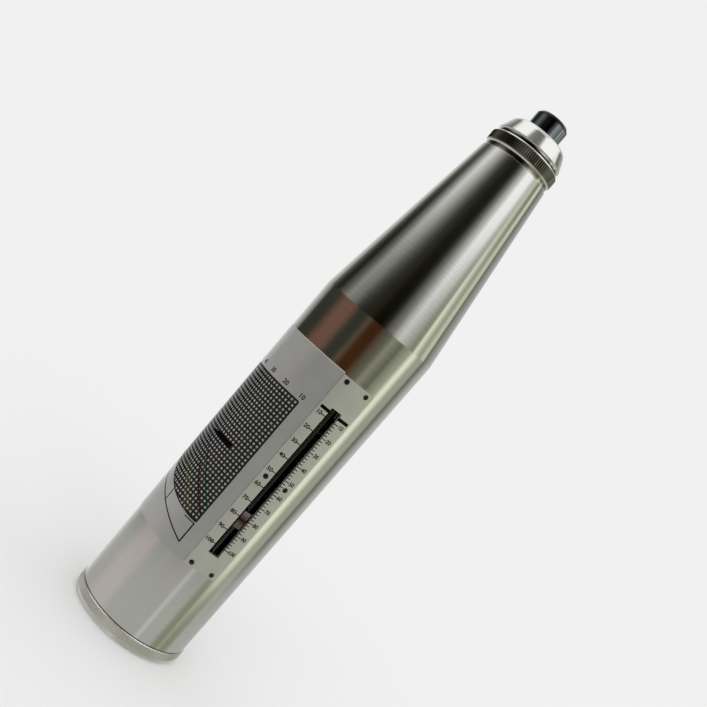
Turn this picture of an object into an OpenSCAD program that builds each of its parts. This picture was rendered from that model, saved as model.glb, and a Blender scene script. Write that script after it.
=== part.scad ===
// Concrete test hammer: a spring-driven rebound hammer, drawn with its plunger locked in.
// Millimetres. The axis is Z, the rear face stands at Z = 0 and the plunger points to +Z.
// The reading slot faces -Y and the lock button faces +Y.

/* [Housing] */
// Outside diameter of the straight barrel
barrel_d = 55; // [54:0.5:58]
// How far the shoulder between barrel and cone lies in front of the hammer mass's body
shoulder_ahead = 2.8; // [0.5:0.1:6]
// Wall of the barrel round the bore that the guide flange slides in
barrel_wall = 3.5; // [3.2:0.1:4]
// Height of the stop shoulder, in front of which the bore is narrower
stop_step = 2.2; // [1:0.1:3]
// Wall of the nose between the front cap's thread and the guide sleeve
nose_thread_wall = 2; // [1.5:0.1:2.4]
// Length of the fine bore that holds the guide sleeve
nose_bore_l = 18; // [14:0.5:22]
// How much wider the inner cone's small end is than the guide sleeve, on each side
cone_bore_step = 1.1; // [0.5:0.1:2]
// Height of the shoulder between the thread and the short neck behind the front cap
neck_step = 2; // [1:0.1:2.5]
// Length of the short neck behind the front cap
neck_l = 1.9; // [1:0.1:3]
// Height of the step between the neck and the small end of the cone
cone_end_step = 0.6; // [0.2:0.1:1.5]
// Length of the thread under the front cap
front_thread_l = 7.1; // [6:0.1:8]

/* [Rear cap] */
// Height of the cap's visible rim
rim_h = 6.4; // [5:0.1:9]
// Height of the bevel at the rear edge
rim_bevel_h = 2.1; // [1:0.1:3]
// Width of the bevel at the rear edge
rim_bevel_w = 1.5; // [0.5:0.1:3]
// How far the knurl's crests stand out from the barrel
rim_knurl_proud = 0.4; // [0.1:0.05:0.8]
// Depth of the straight knurl on the rim
rim_knurl = 0.35; // [0.2:0.05:0.6]
// Teeth of the straight knurl on the rim
rim_knurl_teeth = 144; // [96:4:180]
// Length of the cap's thread inside the barrel
rear_thread_l = 10; // [8:0.5:14]
// Wall of the barrel round the cap's thread
rear_thread_wall = 2.5; // [2:0.1:2.8]
// Wall of the threaded skirt
rear_skirt_t = 3.05; // [2:0.05:3.3]
// Thickness of the cap's end wall
end_wall_t = 8; // [7.5:0.1:10]
// Diameter of the recess round the trip screw
recess_d = 18; // [15:0.5:22]
// Depth of the recess round the trip screw
recess_h = 6; // [5.5:0.1:7]
// Diameter of the boss that the trip screw is threaded through
boss_d = 20; // [14:0.5:24]
// Length of the boss inside the cap
boss_l = 5; // [2:0.5:8]

/* [Trip screw] */
// Diameter of the trip screw
trip_d = 6; // [5:0.5:8]
// How far the screw's slotted end lies below the rear face
trip_depth = 1.2; // [0.5:0.1:2]
// Width across the flats of the lock nut
nut_flats = 10; // [9.5:0.5:12.5]
// Thickness of the lock nut
nut_h = 4; // [3:0.1:4.4]

/* [Springs] */
// Length of the locked-in rear compression spring
rear_spring_l = 26; // [24:0.1:30]
// Wire of the rear compression spring
rear_wire_d = 1.4; // [1:0.1:1.6]
// Turns of the rear compression spring
rear_turns = 12; // [9:1:12]
// Length of the impact spring between its two seats
impact_spring_l = 66.5; // [62:0.5:68]
// Wire of the impact spring
impact_wire_d = 1.8; // [1.4:0.1:2.2]
// Turns of the impact spring
impact_turns = 17; // [12:1:20]
// Wire of the buffer spring in the plunger
buffer_wire_d = 1; // [0.6:0.1:1.2]
// Turns of the buffer spring
buffer_turns = 5; // [4:1:6]
// Wire of the pawl spring
pawl_wire_d = 0.6; // [0.4:0.1:0.7]
// Turns of the pawl spring
pawl_turns = 7; // [5:1:8]
// Wire of the button spring
button_wire_d = 0.5; // [0.3:0.1:0.5]
// Turns of the button spring
button_turns = 2; // [1:0.5:2]

/* [Carriage] */
// Free stroke of the hammer mass, the length of the whole scale
stroke = 75; // [70:1:78]
// Thickness of the guide flange
flange_t = 7.5; // [7:0.1:10]
// Diameter of the guide rod
rod_d = 8; // [7:0.1:9]
// Diameter of the rod's end in the flange
rod_end_d = 5; // [4:0.1:6.5]
// Length of the rod inside the plunger
rod_in_plunger = 34.7; // [25:0.1:40]
// Diameter of the plunger
plunger_d = 15; // [14.5:0.1:15.5]
// How far the locked-in plunger's tip stands out of the front cap
tip_out = 8.8; // [6:0.02:12]
// Depth of the plunger's rear bore
plunger_bore_l = 45; // [44:0.5:55]
// Height of the bevel below the plunger's tip
tip_bevel_h = 1.3; // [0.5:0.1:2]
// Diameter where the bevel meets the round tip
tip_flat_d = 12.8; // [11:0.1:13.5]
// Radius of the round tip
tip_r = 25; // [20:1:30]

/* [Pawl] */
// Thickness of the pawl
pawl_t = 6; // [4:0.5:7]
// Diameter of the pawl's pin
pin_d = 3; // [2:0.1:3.4]
// How far the ends of the pawl's pin lie inside the flange's edge
pin_inset = 1; // [0.5:0.1:3]
// Width of the pawl's forward arm
arm_w = 5.4; // [5:0.1:6]
// Height of the hook's tooth
tooth_h = 3; // [2:0.1:3.5]
// How far the hook's tooth reaches inward from the arm
tooth_reach = 2.7; // [2:0.1:3.2]
// Gap between the pawl's arm and the rear compression spring round it
pawl_gap = 2.2; // [1.8:0.1:3]
// Thickness of the pawl's tail
tail_t = 3; // [2:0.1:4]
// Opening angle of the pawl, in degrees
pawl_swing = 15; // [15:0.5:18]
// Outside diameter of the pawl spring
pawl_spring_d = 3.2; // [2.6:0.1:3.6]
// Depth of the pawl spring's pocket in the flange
pawl_pocket_h = 4; // [2:0.1:5]

/* [Hammer mass] */
// Gap between the hammer mass and the bore round it
mass_gap = 2.3; // [2:0.1:3.5]
// Length of the mass's body
mass_l = 38.5; // [36:0.5:42]
// Bevel on the edges of the body
mass_bevel = 1; // [0.2:0.1:2]
// Gap between the hook's tooth and the neck that it drops behind
tooth_gap = 0.4; // [0.3:0.1:1]
// Length of the neck that the hook drops behind
mass_neck_l = 5; // [4:0.1:7]
// Thickness of the collar that the hook catches
collar_t = 4; // [3:0.1:5]
// Wall of the spigots that the impact spring is wound on, round the plunger
spring_seat_wall = 1.44; // [1:0.02:2]
// Length of the spigots that the impact spring is wound on
spring_seat_l = 5.5; // [4:0.1:7]

/* [Nose] */
// Wall of the guide sleeve round the plunger
sleeve_wall = 3.94; // [3.4:0.02:4.6]
// Length of the guide sleeve's body behind the split ring
sleeve_l = 26.9; // [22:0.1:32]
// Thickness of the sleeve's lip in front of the split ring
sleeve_lip = 0.8; // [0.6:0.1:1.2]
// Wall of the guide sleeve under its groove for the split ring
groove_wall = 1.2; // [0.8:0.1:2]
// Thickness of the split ring
ring_t = 2; // [1.5:0.1:3]
// How far the split ring overlaps the housing's front end
ring_proud = 0.9; // [0.5:0.1:1.2]
// Gap between the halves of the split ring, in degrees
ring_gap = 4; // [2:1:10]
// Wall of the front cap's knurled ring round the thread
nose_ring_wall = 2.75; // [2.3:0.05:3.5]
// Height of the front cap's knurled ring
nose_ring_h = 5.7; // [4:0.1:6]
// Height of the smooth edges beside the knurl
nose_edge_h = 0.6; // [0.3:0.1:1]
// Depth of the knurl on the front cap
nose_knurl = 0.3; // [0.1:0.05:0.4]
// Teeth of the knurl on the front cap
nose_knurl_teeth = 96; // [60:4:120]
// Depth of the groove in front of the knurled ring
nose_groove = 0.85; // [0.6:0.05:1]
// Height of the groove in front of the knurled ring
nose_groove_h = 1.7; // [1:0.1:2]
// Half-angle of the nose's polished flank
nose_angle = 23.5; // [18:0.5:26]
// Radius of the nose's front edge
nose_round = 3.8; // [2:0.1:4]
// Thickness of the front cap's end wall
nose_wall_t = 2.3; // [2:0.1:3]
// Thickness of the felt ring
felt_t = 2.3; // [2:0.1:3.2]
// How much smaller the felt ring is than the guide sleeve, on each side
felt_step = 1.1; // [0.6:0.1:2]

/* [Scale] */
// Thickness of the scale plate
plate_t = 0.5; // [0.3:0.05:0.8]
// Width of the plate left of the slot's middle, along the barrel
plate_left = 7.3; // [6.6:0.1:9]
// Width of the plate right of the slot's middle, along the barrel
plate_right = 8.75; // [7.6:0.05:10]
// Length of the plate in front of the scale's zero
plate_front = 10.2; // [9.7:0.1:12]
// Length of the plate behind the scale's hundred
plate_rear = 13.9; // [12:0.1:15]
// Width of the reading slot in the plate
slot_w = 4.55; // [3.5:0.05:5.4]
// Gap between the slot's ends and the rider at its lowest and highest reading
slot_gap = 0.45; // [0.4:0.05:1]
// Head diameter of the plate's screws
plate_screw_d = 2.2; // [1.8:0.1:2.6]
// Height of the screws' heads
plate_screw_h = 0.4; // [0.2:0.05:0.8]
// Diameter of the screws' shanks
plate_shank_d = 1.6; // [1:0.1:1.6]
// Length of the screws' shanks
plate_shank_l = 2.4; // [1.5:0.1:2.8]
// Distance of the left screws from the slot's middle, along the barrel
screw_left = 4.6; // [4.4:0.05:5]
// Distance of the right screws from the slot's middle, along the barrel
screw_right = 5.6; // [4.8:0.05:6]
// Distance of the end screws from the plate's ends
screw_inset = 1.9; // [1.5:0.1:2.6]
// How far the middle screws lie behind the plate's middle
screw_back = 1.4; // [0:0.1:2]
// Width of the chart label along the barrel
label_w = 55; // [40:1:70]
// Thickness of the chart label
label_t = 0.12; // [0.05:0.01:0.2]
// How far the label reaches in front of the plate
label_over = 0.6; // [0:0.1:3]

/* [Rider] */
// Reading that the rider shows
reading = 81.3; // [10:0.1:95]
// Width of the rider block
rider_w = 6; // [5:0.1:6.4]
// Length of the rider block
rider_l = 8; // [6:0.1:9]
// Height of the rider block
rider_h = 4.4; // [3.8:0.1:4.6]
// Depth of the rider below the plate
rider_depth = 0.5; // [0.4:0.05:1]
// Gap between the rider's raised face and each side of the slot
face_side = 0.68; // [0.4:0.02:1]
// Depth of the rider's raised face below the plate's outer face
face_depth = 0.12; // [0.1:0.02:0.4]
// How far the catch of the rider's leaf lies behind the index line
leaf_reach = 7.8; // [6.5:0.1:9]
// Width of the leaf
leaf_w = 4; // [2:0.1:5]
// Thickness of the leaf
leaf_t = 0.4; // [0.2:0.05:0.5]
// Diameter of the rider's rod
rider_rod_d = 2; // [1.4:0.1:2.4]
// Depth of the rider's rod below the barrel's surface
rider_rod_depth = 2.5; // [2.2:0.1:2.8]
// Length of the blocks that hold the rod
block_l = 2.8; // [2:0.1:2.9]
// How far the blocks' lips reach past the slot on each side
block_lip = 1.2; // [0.6:0.1:1.3]
// Thickness of the blocks' lips
block_lip_t = 0.7; // [0.5:0.1:1]

/* [Button] */
// Distance of the button in front of the guide flange
button_ahead = 5.5; // [5:0.1:8]
// Diameter of the button's head
button_d = 10.8; // [10:0.1:13]
// Height of the button's head
button_h = 3.2; // [2.6:0.1:4.5]
// Wall of the button's hollow head
button_wall = 1; // [0.6:0.1:1]
// Diameter of the button's stem
stem_d = 6; // [5:0.1:6.4]
// Outward travel of the button
button_travel = 3; // [2:0.1:3]
// Diameter of the bush that carries the button
bush_d = 10.4; // [9.6:0.1:11]
// How far the bush's inner end lies outside the bore
bush_inset = 1.3; // [1.1:0.1:1.6]
// Diameter of the bush's collar
bush_collar_d = 13.6; // [12.6:0.1:15]
// Height of the bush's collar
bush_collar_h = 1.5; // [1:0.1:2]
// Depth of the flat that the collar seats on
spot_depth = 0.5; // [0.3:0.1:0.8]
// Diameter of the clip on the stem
clip_d = 8.4; // [7.8:0.1:9]
// Thickness of the clip
clip_t = 0.7; // [0.5:0.1:1]
// Depth of the clip's groove in the stem
clip_groove = 0.6; // [0.3:0.1:0.8]

/* [Fits] */
// Radial clearance of what slides or turns
running_fit = 0.06; // [0.02:0.01:0.1]
// Clearance of what is screwed, glued or seated
seat_gap = 0.02; // [0.01:0.01:0.05]
// Gap between pieces that pass each other
free_gap = 0.3; // [0.2:0.05:0.4]
// Gap between pieces that pass with room to spare
wide_gap = 0.6; // [0.5:0.05:0.8]

/* [Hidden] */
$fn = 96;
cut = 1;               // how far a cutting solid runs past a face
coil_sides = 6;        // sides of a spring's wire
coil_rings = 12;       // rings in each turn of a large spring
small_coil_rings = 8;  // rings in each turn of a small spring
round_steps = 6;       // steps of a rounded edge in a turned outline
minor_bevel = 0.5;     // bevel on small turned edges
knurl_step = 0.05;     // step from a knurl's roots down to the turned edge beside it
low_reading = 10;      // lowest reading that the slot leaves open to the rider

// Places along the axis, from the rear
seam_z = rim_h;
flange_z = end_wall_t + rear_spring_l;
flange_front_z = flange_z + flange_t;
stop_z = flange_front_z + stroke + free_gap;
collar_z = flange_front_z + stroke + wide_gap;
collar_end_z = collar_z + collar_t;
mass_z = collar_end_z + mass_neck_l;
mass_front_z = mass_z + mass_l;
mass_face_z = mass_front_z + spring_seat_l;
shoulder_z = mass_front_z + shoulder_ahead;
plunger_z = mass_face_z + free_gap;
rod_end_z = plunger_z + rod_in_plunger;
sleeve_z = mass_front_z + impact_spring_l;
front_z = sleeve_z + sleeve_l;
nose_bore_z = front_z - nose_bore_l;
neck_end_z = front_z - front_thread_l;
cone_end_z = neck_end_z - neck_l;
ring_end_z = front_z + ring_t;
sleeve_end_z = ring_end_z + seat_gap + sleeve_lip;
felt_z = sleeve_end_z + seat_gap;
nose_wall_z = felt_z + felt_t + seat_gap;
nose_end_z = nose_wall_z + nose_wall_t;
tip_z = nose_end_z + tip_out;
nose_ring_z = neck_end_z + seat_gap;
groove_z = nose_ring_z + nose_ring_h;
flank_z = groove_z + nose_groove_h;

// Diameters, from the barrel inward and from the plunger outward
barrel_r = barrel_d / 2;
bore_d = barrel_d - 2 * barrel_wall;
front_bore_d = bore_d - 2 * stop_step;
rear_thread_d = barrel_d - 2 * rear_thread_wall;
mass_d = front_bore_d - 2 * mass_gap;
plunger_bore_d = plunger_d + 2 * running_fit;
spring_seat_d = plunger_bore_d + 2 * spring_seat_wall;
sleeve_d = plunger_bore_d + 2 * sleeve_wall;
front_thread_d = sleeve_d + 2 * nose_thread_wall;
cone_bore_d = sleeve_d + 2 * cone_bore_step;
felt_d = sleeve_d - 2 * felt_step;
neck_d = front_thread_d + 2 * neck_step;
cone_end_d = neck_d + 2 * cone_end_step;
nose_ring_d = front_thread_d + 2 * nose_ring_wall;
nose_groove_d = nose_ring_d - 2 * nose_groove;

// The scale counts down the barrel from the place where the hammer mass starts to carry the rider
zero_z = mass_z + leaf_reach;
hundred_z = zero_z - stroke;
index_z = zero_z - stroke * reading / 100;
plate_z = hundred_z - plate_rear;
plate_end_z = zero_z + plate_front;
slot_z = hundred_z - rider_l / 2 - slot_gap;
slot_end_z = zero_z - stroke * low_reading / 100 + rider_l / 2 + slot_gap;
plate_r = barrel_r + seat_gap;
screw_zs = [plate_z + screw_inset, (plate_z + plate_end_z) / 2 - screw_back, plate_end_z - screw_inset];
label_z = plate_z + seat_gap;

// The rider runs in a longer slot in the barrel, between the two blocks that hold its rod
rider_slot_w = rider_w + 2 * free_gap;
rider_top_r = barrel_r - rider_depth;
rider_low_r = rider_top_r - rider_h;
rider_rod_r = barrel_r - rider_rod_depth;
face_w = slot_w - 2 * face_side;
face_r = plate_r + plate_t - face_depth;
leaf_tip_r = mass_d / 2 + free_gap;
rear_block_z = hundred_z - rider_l / 2 - free_gap - block_l;
front_block_z = zero_z + rider_l / 2 + free_gap;
barrel_slot_z = rear_block_z - seat_gap;
barrel_slot_end_z = front_block_z + block_l + seat_gap;
lip_w = rider_slot_w + 2 * block_lip;
lip_r = sqrt(barrel_r * barrel_r - lip_w * lip_w / 4) - seat_gap;

// Radii of the mechanism
bore_r = bore_d / 2;
flange_r = bore_r - running_fit;
rear_spring_r = rear_thread_d / 2 - seat_gap - rear_skirt_t - free_gap - rear_wire_d / 2;
impact_spring_r = (spring_seat_d / 2 + running_fit) / cos(180 / coil_rings) + impact_wire_d / 2;
rider_notch_w = rider_w + 2 * wide_gap + 2 * free_gap;
rider_notch_r = leaf_tip_r - wide_gap;

// The pawl: its pivot lies in the flange, its arm passes forward inside the rear spring and its tail
// crosses the axis
arm_end_x = rear_spring_r - rear_wire_d / 2 - pawl_gap;
arm_x = arm_end_x - arm_w;
tooth_tip_x = arm_x - tooth_reach;
pivot_x = arm_x + arm_w / 2;
pivot_z = flange_z + flange_t / 2;
pin_l = 2 * sqrt(pow(flange_r, 2) - pow(pivot_x + pin_d / 2, 2)) - 2 * pin_inset;
tooth_z = flange_front_z + wide_gap + collar_t + free_gap;
tail_swing = (pivot_x + trip_d / 2) * sin(pawl_swing);
tail_room = (tail_swing + flange_t / 2 + free_gap) / cos(pawl_swing) - flange_t / 2;
tail_z = flange_z - tail_room - tail_t;
arm_room = flange_t / 2 * sin(pawl_swing) + free_gap;
pawl_slot_x = arm_x - arm_room;
pawl_slot_l = arm_w + 2 * arm_room;
pawl_slot_w = pawl_t + 2 * free_gap;
pawl_spring_x = (rod_end_d / 2 + pawl_slot_x) / 2;
trip_end_z = tail_z - free_gap;

// The hook catches the mass's collar and drops behind it, over the neck
collar_d = 2 * (arm_x - wide_gap);
mass_neck_d = 2 * (tooth_tip_x - tooth_gap);

// The button: heights are measured outward from the axis
button_z = flange_front_z + button_ahead;
spot_r = barrel_r - spot_depth;
bush_top_r = spot_r + seat_gap + bush_collar_h;
button_low_r = bush_top_r + free_gap;
button_top_r = button_low_r + button_h;
bush_low_r = bore_r + bush_inset;
clip_top_r = bush_low_r - free_gap - button_travel;
clip_low_r = clip_top_r - clip_t;
stem_low_r = clip_low_r - free_gap;
key_w = clip_d + 2 * wide_gap;
key_r = stem_low_r - free_gap;

function along_barrel(length) = length / barrel_r * 180 / PI;

// A point on a coil's centre line, where t runs from 0 to 1
function coil_point(r, turns, low, high, t) =
    [r * cos(360 * turns * t), r * sin(360 * turns * t), low + (high - low) * t];

// The six-sided ring of points round the wire at t
function coil_ring(r, wire_r, turns, low, high, t) = [
    for (side = [0 : coil_sides - 1])
        let (a = 360 * side / coil_sides)
            coil_point(r + wire_r * cos(a), turns, low, high, t) + [0, 0, wire_r * sin(a)]
];

// Teeth of a straight knurl, as one outline
function knurl_outline(crest_r, depth, teeth) = [
    for (i = [0 : 2 * teeth - 1])
        let (r = i % 2 == 0 ? crest_r : crest_r - depth, a = 180 * i / teeth)
            [r * cos(a), r * sin(a)]
];

// Points on an arc, for a turned outline
function arc_points(centre, r, start, end) = [
    for (i = [0 : round_steps])
        let (a = start + (end - start) * i / round_steps)
            centre + r * [cos(a), sin(a)]
];

module rod_between(d, low, high) {
    translate([0, 0, low]) cylinder(d = d, h = high - low);
}

module coil(name, mean_r, wire_d, turns, low, high, rings) {
    count = ceil(turns * rings);
    first = low + wire_d / 2;
    last = high - wire_d / 2;
    points = [
        for (i = [0 : count])
            each coil_ring(mean_r, wire_d / 2, turns, first, last, i / count)
    ];
    gaps = [
        for (i = [0 : count - rings])
            norm(coil_point(mean_r, turns, first, last, (i + rings) / count)
                - coil_point(mean_r, turns, first, last, i / count)) - wire_d
    ];
    end = count * coil_sides;
    faces = [
        for (i = [0 : count - 1], side = [0 : coil_sides - 1])
            let (
                next = (side + 1) % coil_sides,
                a = i * coil_sides + side,
                b = i * coil_sides + next,
                c = b + coil_sides,
                d = a + coil_sides
            )
                each [[a, b, c], [a, c, d]],
        for (side = [1 : coil_sides - 2])
            each [[0, side + 1, side], [end, end + side, end + side + 1]]
    ];
    echo(str(name, ": least gap between turns ", min(gaps), " mm"));
    polyhedron(points = points, faces = faces);
}

// Turns a solid drawn along +Z so that it points out of the barrel at the button
module at_button() {
    translate([0, 0, button_z]) rotate([-90, 0, 0]) children();
}

// Puts a solid drawn along +Z at each of the plate's screws, pointing out of the barrel
module at_plate_screws() {
    for (side = [-screw_left, screw_right], z = screw_zs)
        rotate([0, 0, along_barrel(side)]) translate([0, 0, z]) rotate([90, 0, 0]) children();
}

// A sheet wrapped on the barrel, from one place left of the slot to another right of it
module wrapped(left, right, r, thickness, low, high) {
    rotate([0, 0, along_barrel(left) - 90])
        rotate_extrude(angle = along_barrel(right - left))
            translate([r, low]) square([thickness, high - low]);
}

// A box in the reading slot, between two distances from the axis
module in_slot(width, inner_r, outer_r, low, high) {
    translate([-width / 2, -outer_r, low]) cube([width, outer_r - inner_r, high - low]);
}

module block_lips(extra) {
    for (z = [rear_block_z, front_block_z])
        in_slot(lip_w + 2 * extra, lip_r - block_lip_t - extra, lip_r + extra * cut / seat_gap,
            z - extra, z + block_l + extra);
}

module housing_wall() {
    rotate_extrude() polygon([
        [rear_thread_d / 2, seam_z],
        [barrel_r, seam_z],
        [barrel_r, shoulder_z],
        [cone_end_d / 2, cone_end_z],
        [neck_d / 2, cone_end_z],
        [neck_d / 2, neck_end_z],
        [front_thread_d / 2, neck_end_z],
        [front_thread_d / 2, front_z],
        [sleeve_d / 2 + seat_gap, front_z],
        [sleeve_d / 2 + seat_gap, nose_bore_z],
        [cone_bore_d / 2, nose_bore_z],
        [front_bore_d / 2, shoulder_z - (barrel_d - front_bore_d) / 2],
        [front_bore_d / 2, stop_z],
        [bore_r, stop_z],
        [bore_r, seam_z + rear_thread_l + minor_bevel],
        [rear_thread_d / 2, seam_z + rear_thread_l + minor_bevel]
    ]);
}

module housing() {
    color("silver") difference() {
        housing_wall();
        in_slot(rider_slot_w, front_bore_d / 2 - cut, barrel_r + cut, barrel_slot_z, barrel_slot_end_z);
        block_lips(seat_gap);
        at_plate_screws()
            rod_between(plate_shank_d + 2 * seat_gap, barrel_r - plate_shank_l - seat_gap, barrel_r + cut);
        at_button() {
            rod_between(bush_d + 2 * seat_gap, bore_r / 2, barrel_r + cut);
            rod_between(bush_collar_d + 2 * free_gap, spot_r, barrel_r + cut);
        }
    }
}

module rear_cap() {
    skirt_r = rear_thread_d / 2 - seat_gap;
    rim_r = barrel_r + rim_knurl_proud;
    bevel_r = rim_r - rim_knurl - knurl_step;
    color("gainsboro") difference() {
        union() {
            cylinder(r1 = bevel_r - rim_bevel_w, r2 = bevel_r, h = rim_bevel_h);
            translate([0, 0, rim_bevel_h]) linear_extrude(rim_h - rim_bevel_h)
                polygon(knurl_outline(rim_r, rim_knurl, rim_knurl_teeth));
            rod_between(2 * skirt_r, rim_h, rim_h + rear_thread_l);
        }
        difference() {
            rod_between(2 * (skirt_r - rear_skirt_t), end_wall_t, rim_h + rear_thread_l + cut);
            rod_between(boss_d, end_wall_t - cut, end_wall_t + boss_l);
        }
        rod_between(recess_d, -cut, recess_h);
        rod_between(trip_d + 2 * seat_gap, 0, end_wall_t + boss_l + cut);
    }
}

module trip_screw() {
    driver_w = trip_d / 6;
    color("dimgray") difference() {
        union() {
            rod_between(trip_d, trip_depth, trip_end_z - minor_bevel);
            translate([0, 0, trip_end_z - minor_bevel])
                cylinder(d1 = trip_d, d2 = trip_d - 2 * minor_bevel, h = minor_bevel);
        }
        translate([-trip_d, -driver_w / 2, trip_depth - cut]) cube([2 * trip_d, driver_w, cut + driver_w]);
    }
}

module lock_nut() {
    color("dimgray") difference() {
        translate([0, 0, recess_h - seat_gap - nut_h])
            cylinder(d = nut_flats / cos(30), h = nut_h, $fn = 6);
        rod_between(trip_d + 2 * seat_gap, 0, recess_h);
    }
}

module compression_spring() {
    color("gray") coil("compression_spring", rear_spring_r, rear_wire_d, rear_turns,
        end_wall_t + seat_gap, flange_z - seat_gap, coil_rings);
}

module guide_flange() {
    color("darkgray") difference() {
        rod_between(2 * flange_r, flange_z, flange_front_z);
        rod_between(rod_end_d + 2 * seat_gap, flange_z - cut, flange_front_z + cut);
        in_slot(rider_notch_w, rider_notch_r, bore_r + cut, flange_z - cut, flange_front_z + cut);
        rotate([0, 0, 180]) in_slot(key_w, key_r, bore_r + cut, flange_z - cut, flange_front_z + cut);
        translate([pawl_slot_x, -pawl_slot_w / 2, flange_z - cut])
            cube([pawl_slot_l, pawl_slot_w, flange_t + 2 * cut]);
        translate([pivot_x, 0, pivot_z]) rotate([90, 0, 0])
            cylinder(d = pin_d + 2 * seat_gap, h = bore_d, center = true);
        translate([pawl_spring_x, 0, flange_z - cut])
            cylinder(d = pawl_spring_d + 2 * free_gap, h = pawl_pocket_h + cut);
    }
}

module guide_rod() {
    color("lightsteelblue") {
        rod_between(rod_end_d, flange_z, flange_front_z + seat_gap);
        rod_between(rod_d, flange_front_z + seat_gap, rod_end_z);
    }
}

module pawl() {
    color("slategray") difference() {
        rotate([90, 0, 0]) linear_extrude(pawl_t, center = true) polygon([
            [-trip_d / 2, tail_z],
            [arm_end_x, tail_z],
            [arm_end_x, tooth_z + tooth_h],
            [arm_x, tooth_z + tooth_h],
            [tooth_tip_x, tooth_z + minor_bevel],
            [tooth_tip_x, tooth_z],
            [arm_x, tooth_z],
            [arm_x, tail_z + tail_t],
            [-trip_d / 2, tail_z + tail_t]
        ]);
        translate([pivot_x, 0, pivot_z]) rotate([90, 0, 0])
            cylinder(d = pin_d + 2 * running_fit, h = pawl_t + 2 * cut, center = true);
    }
}

module pawl_pin() {
    color("gainsboro") translate([pivot_x, 0, pivot_z]) rotate([90, 0, 0])
        cylinder(d = pin_d, h = pin_l, center = true);
}

module pawl_spring() {
    color("gray") translate([pawl_spring_x, 0, 0])
        coil("pawl_spring", (pawl_spring_d - pawl_wire_d) / 2, pawl_wire_d, pawl_turns,
            tail_z + tail_t + seat_gap, flange_z + pawl_pocket_h - seat_gap, small_coil_rings);
}

module hammer_mass() {
    bore = rod_d / 2 + running_fit;
    body_r = mass_d / 2;
    seat_r = spring_seat_d / 2;
    color("steelblue") rotate_extrude() polygon([
        [bore, collar_z],
        [collar_d / 2 - minor_bevel, collar_z],
        [collar_d / 2, collar_z + minor_bevel],
        [collar_d / 2, collar_end_z],
        [mass_neck_d / 2, collar_end_z],
        [mass_neck_d / 2, mass_z],
        [body_r - mass_bevel, mass_z],
        [body_r, mass_z + mass_bevel],
        [body_r, mass_front_z - mass_bevel],
        [body_r - mass_bevel, mass_front_z],
        [seat_r, mass_front_z],
        [seat_r, mass_face_z - minor_bevel],
        [seat_r - minor_bevel, mass_face_z],
        [bore, mass_face_z]
    ]);
}

module impact_spring() {
    color("gray") coil("impact_spring", impact_spring_r, impact_wire_d, impact_turns,
        mass_front_z + seat_gap, sleeve_z - seat_gap, coil_rings);
}

module plunger() {
    dome_z = tip_z - tip_r;
    bevel_end_z = dome_z + sqrt(tip_r * tip_r - tip_flat_d * tip_flat_d / 4);
    bevel_z = bevel_end_z - tip_bevel_h;
    color("black") difference() {
        union() {
            rod_between(plunger_d, plunger_z, bevel_z);
            translate([0, 0, bevel_z]) cylinder(d1 = plunger_d, d2 = tip_flat_d, h = tip_bevel_h);
            intersection() {
                rod_between(tip_flat_d, bevel_end_z - minor_bevel, tip_z + cut);
                translate([0, 0, dome_z]) sphere(r = tip_r);
            }
        }
        rod_between(rod_d + 2 * running_fit, plunger_z - cut, plunger_z + plunger_bore_l);
    }
}

module buffer_spring() {
    color("gray") coil("buffer_spring", (rod_d - buffer_wire_d) / 2, buffer_wire_d, buffer_turns,
        rod_end_z + seat_gap, plunger_z + plunger_bore_l - seat_gap, small_coil_rings);
}

module guide_sleeve() {
    bore = plunger_bore_d / 2;
    sleeve_r = sleeve_d / 2;
    groove_r = bore + groove_wall;
    color("goldenrod") rotate_extrude() polygon([
        [bore, sleeve_z - spring_seat_l],
        [spring_seat_d / 2, sleeve_z - spring_seat_l],
        [spring_seat_d / 2, sleeve_z],
        [sleeve_r, sleeve_z],
        [sleeve_r, front_z],
        [groove_r, front_z],
        [groove_r, ring_end_z + seat_gap],
        [sleeve_r, ring_end_z + seat_gap],
        [sleeve_r, sleeve_end_z],
        [bore, sleeve_end_z]
    ]);
}

module split_ring() {
    inner_r = plunger_bore_d / 2 + groove_wall + seat_gap;
    outer_r = sleeve_d / 2 + ring_proud;
    color("dimgray") for (half = [0, 180])
        rotate([0, 0, half + ring_gap / 2]) rotate_extrude(angle = 180 - ring_gap)
            translate([inner_r, front_z + seat_gap]) square([outer_r - inner_r, ring_t - seat_gap]);
}

module felt_ring() {
    color("saddlebrown") difference() {
        rod_between(felt_d, felt_z, felt_z + felt_t);
        rod_between(plunger_bore_d, felt_z - cut, felt_z + felt_t + cut);
    }
}

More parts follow.
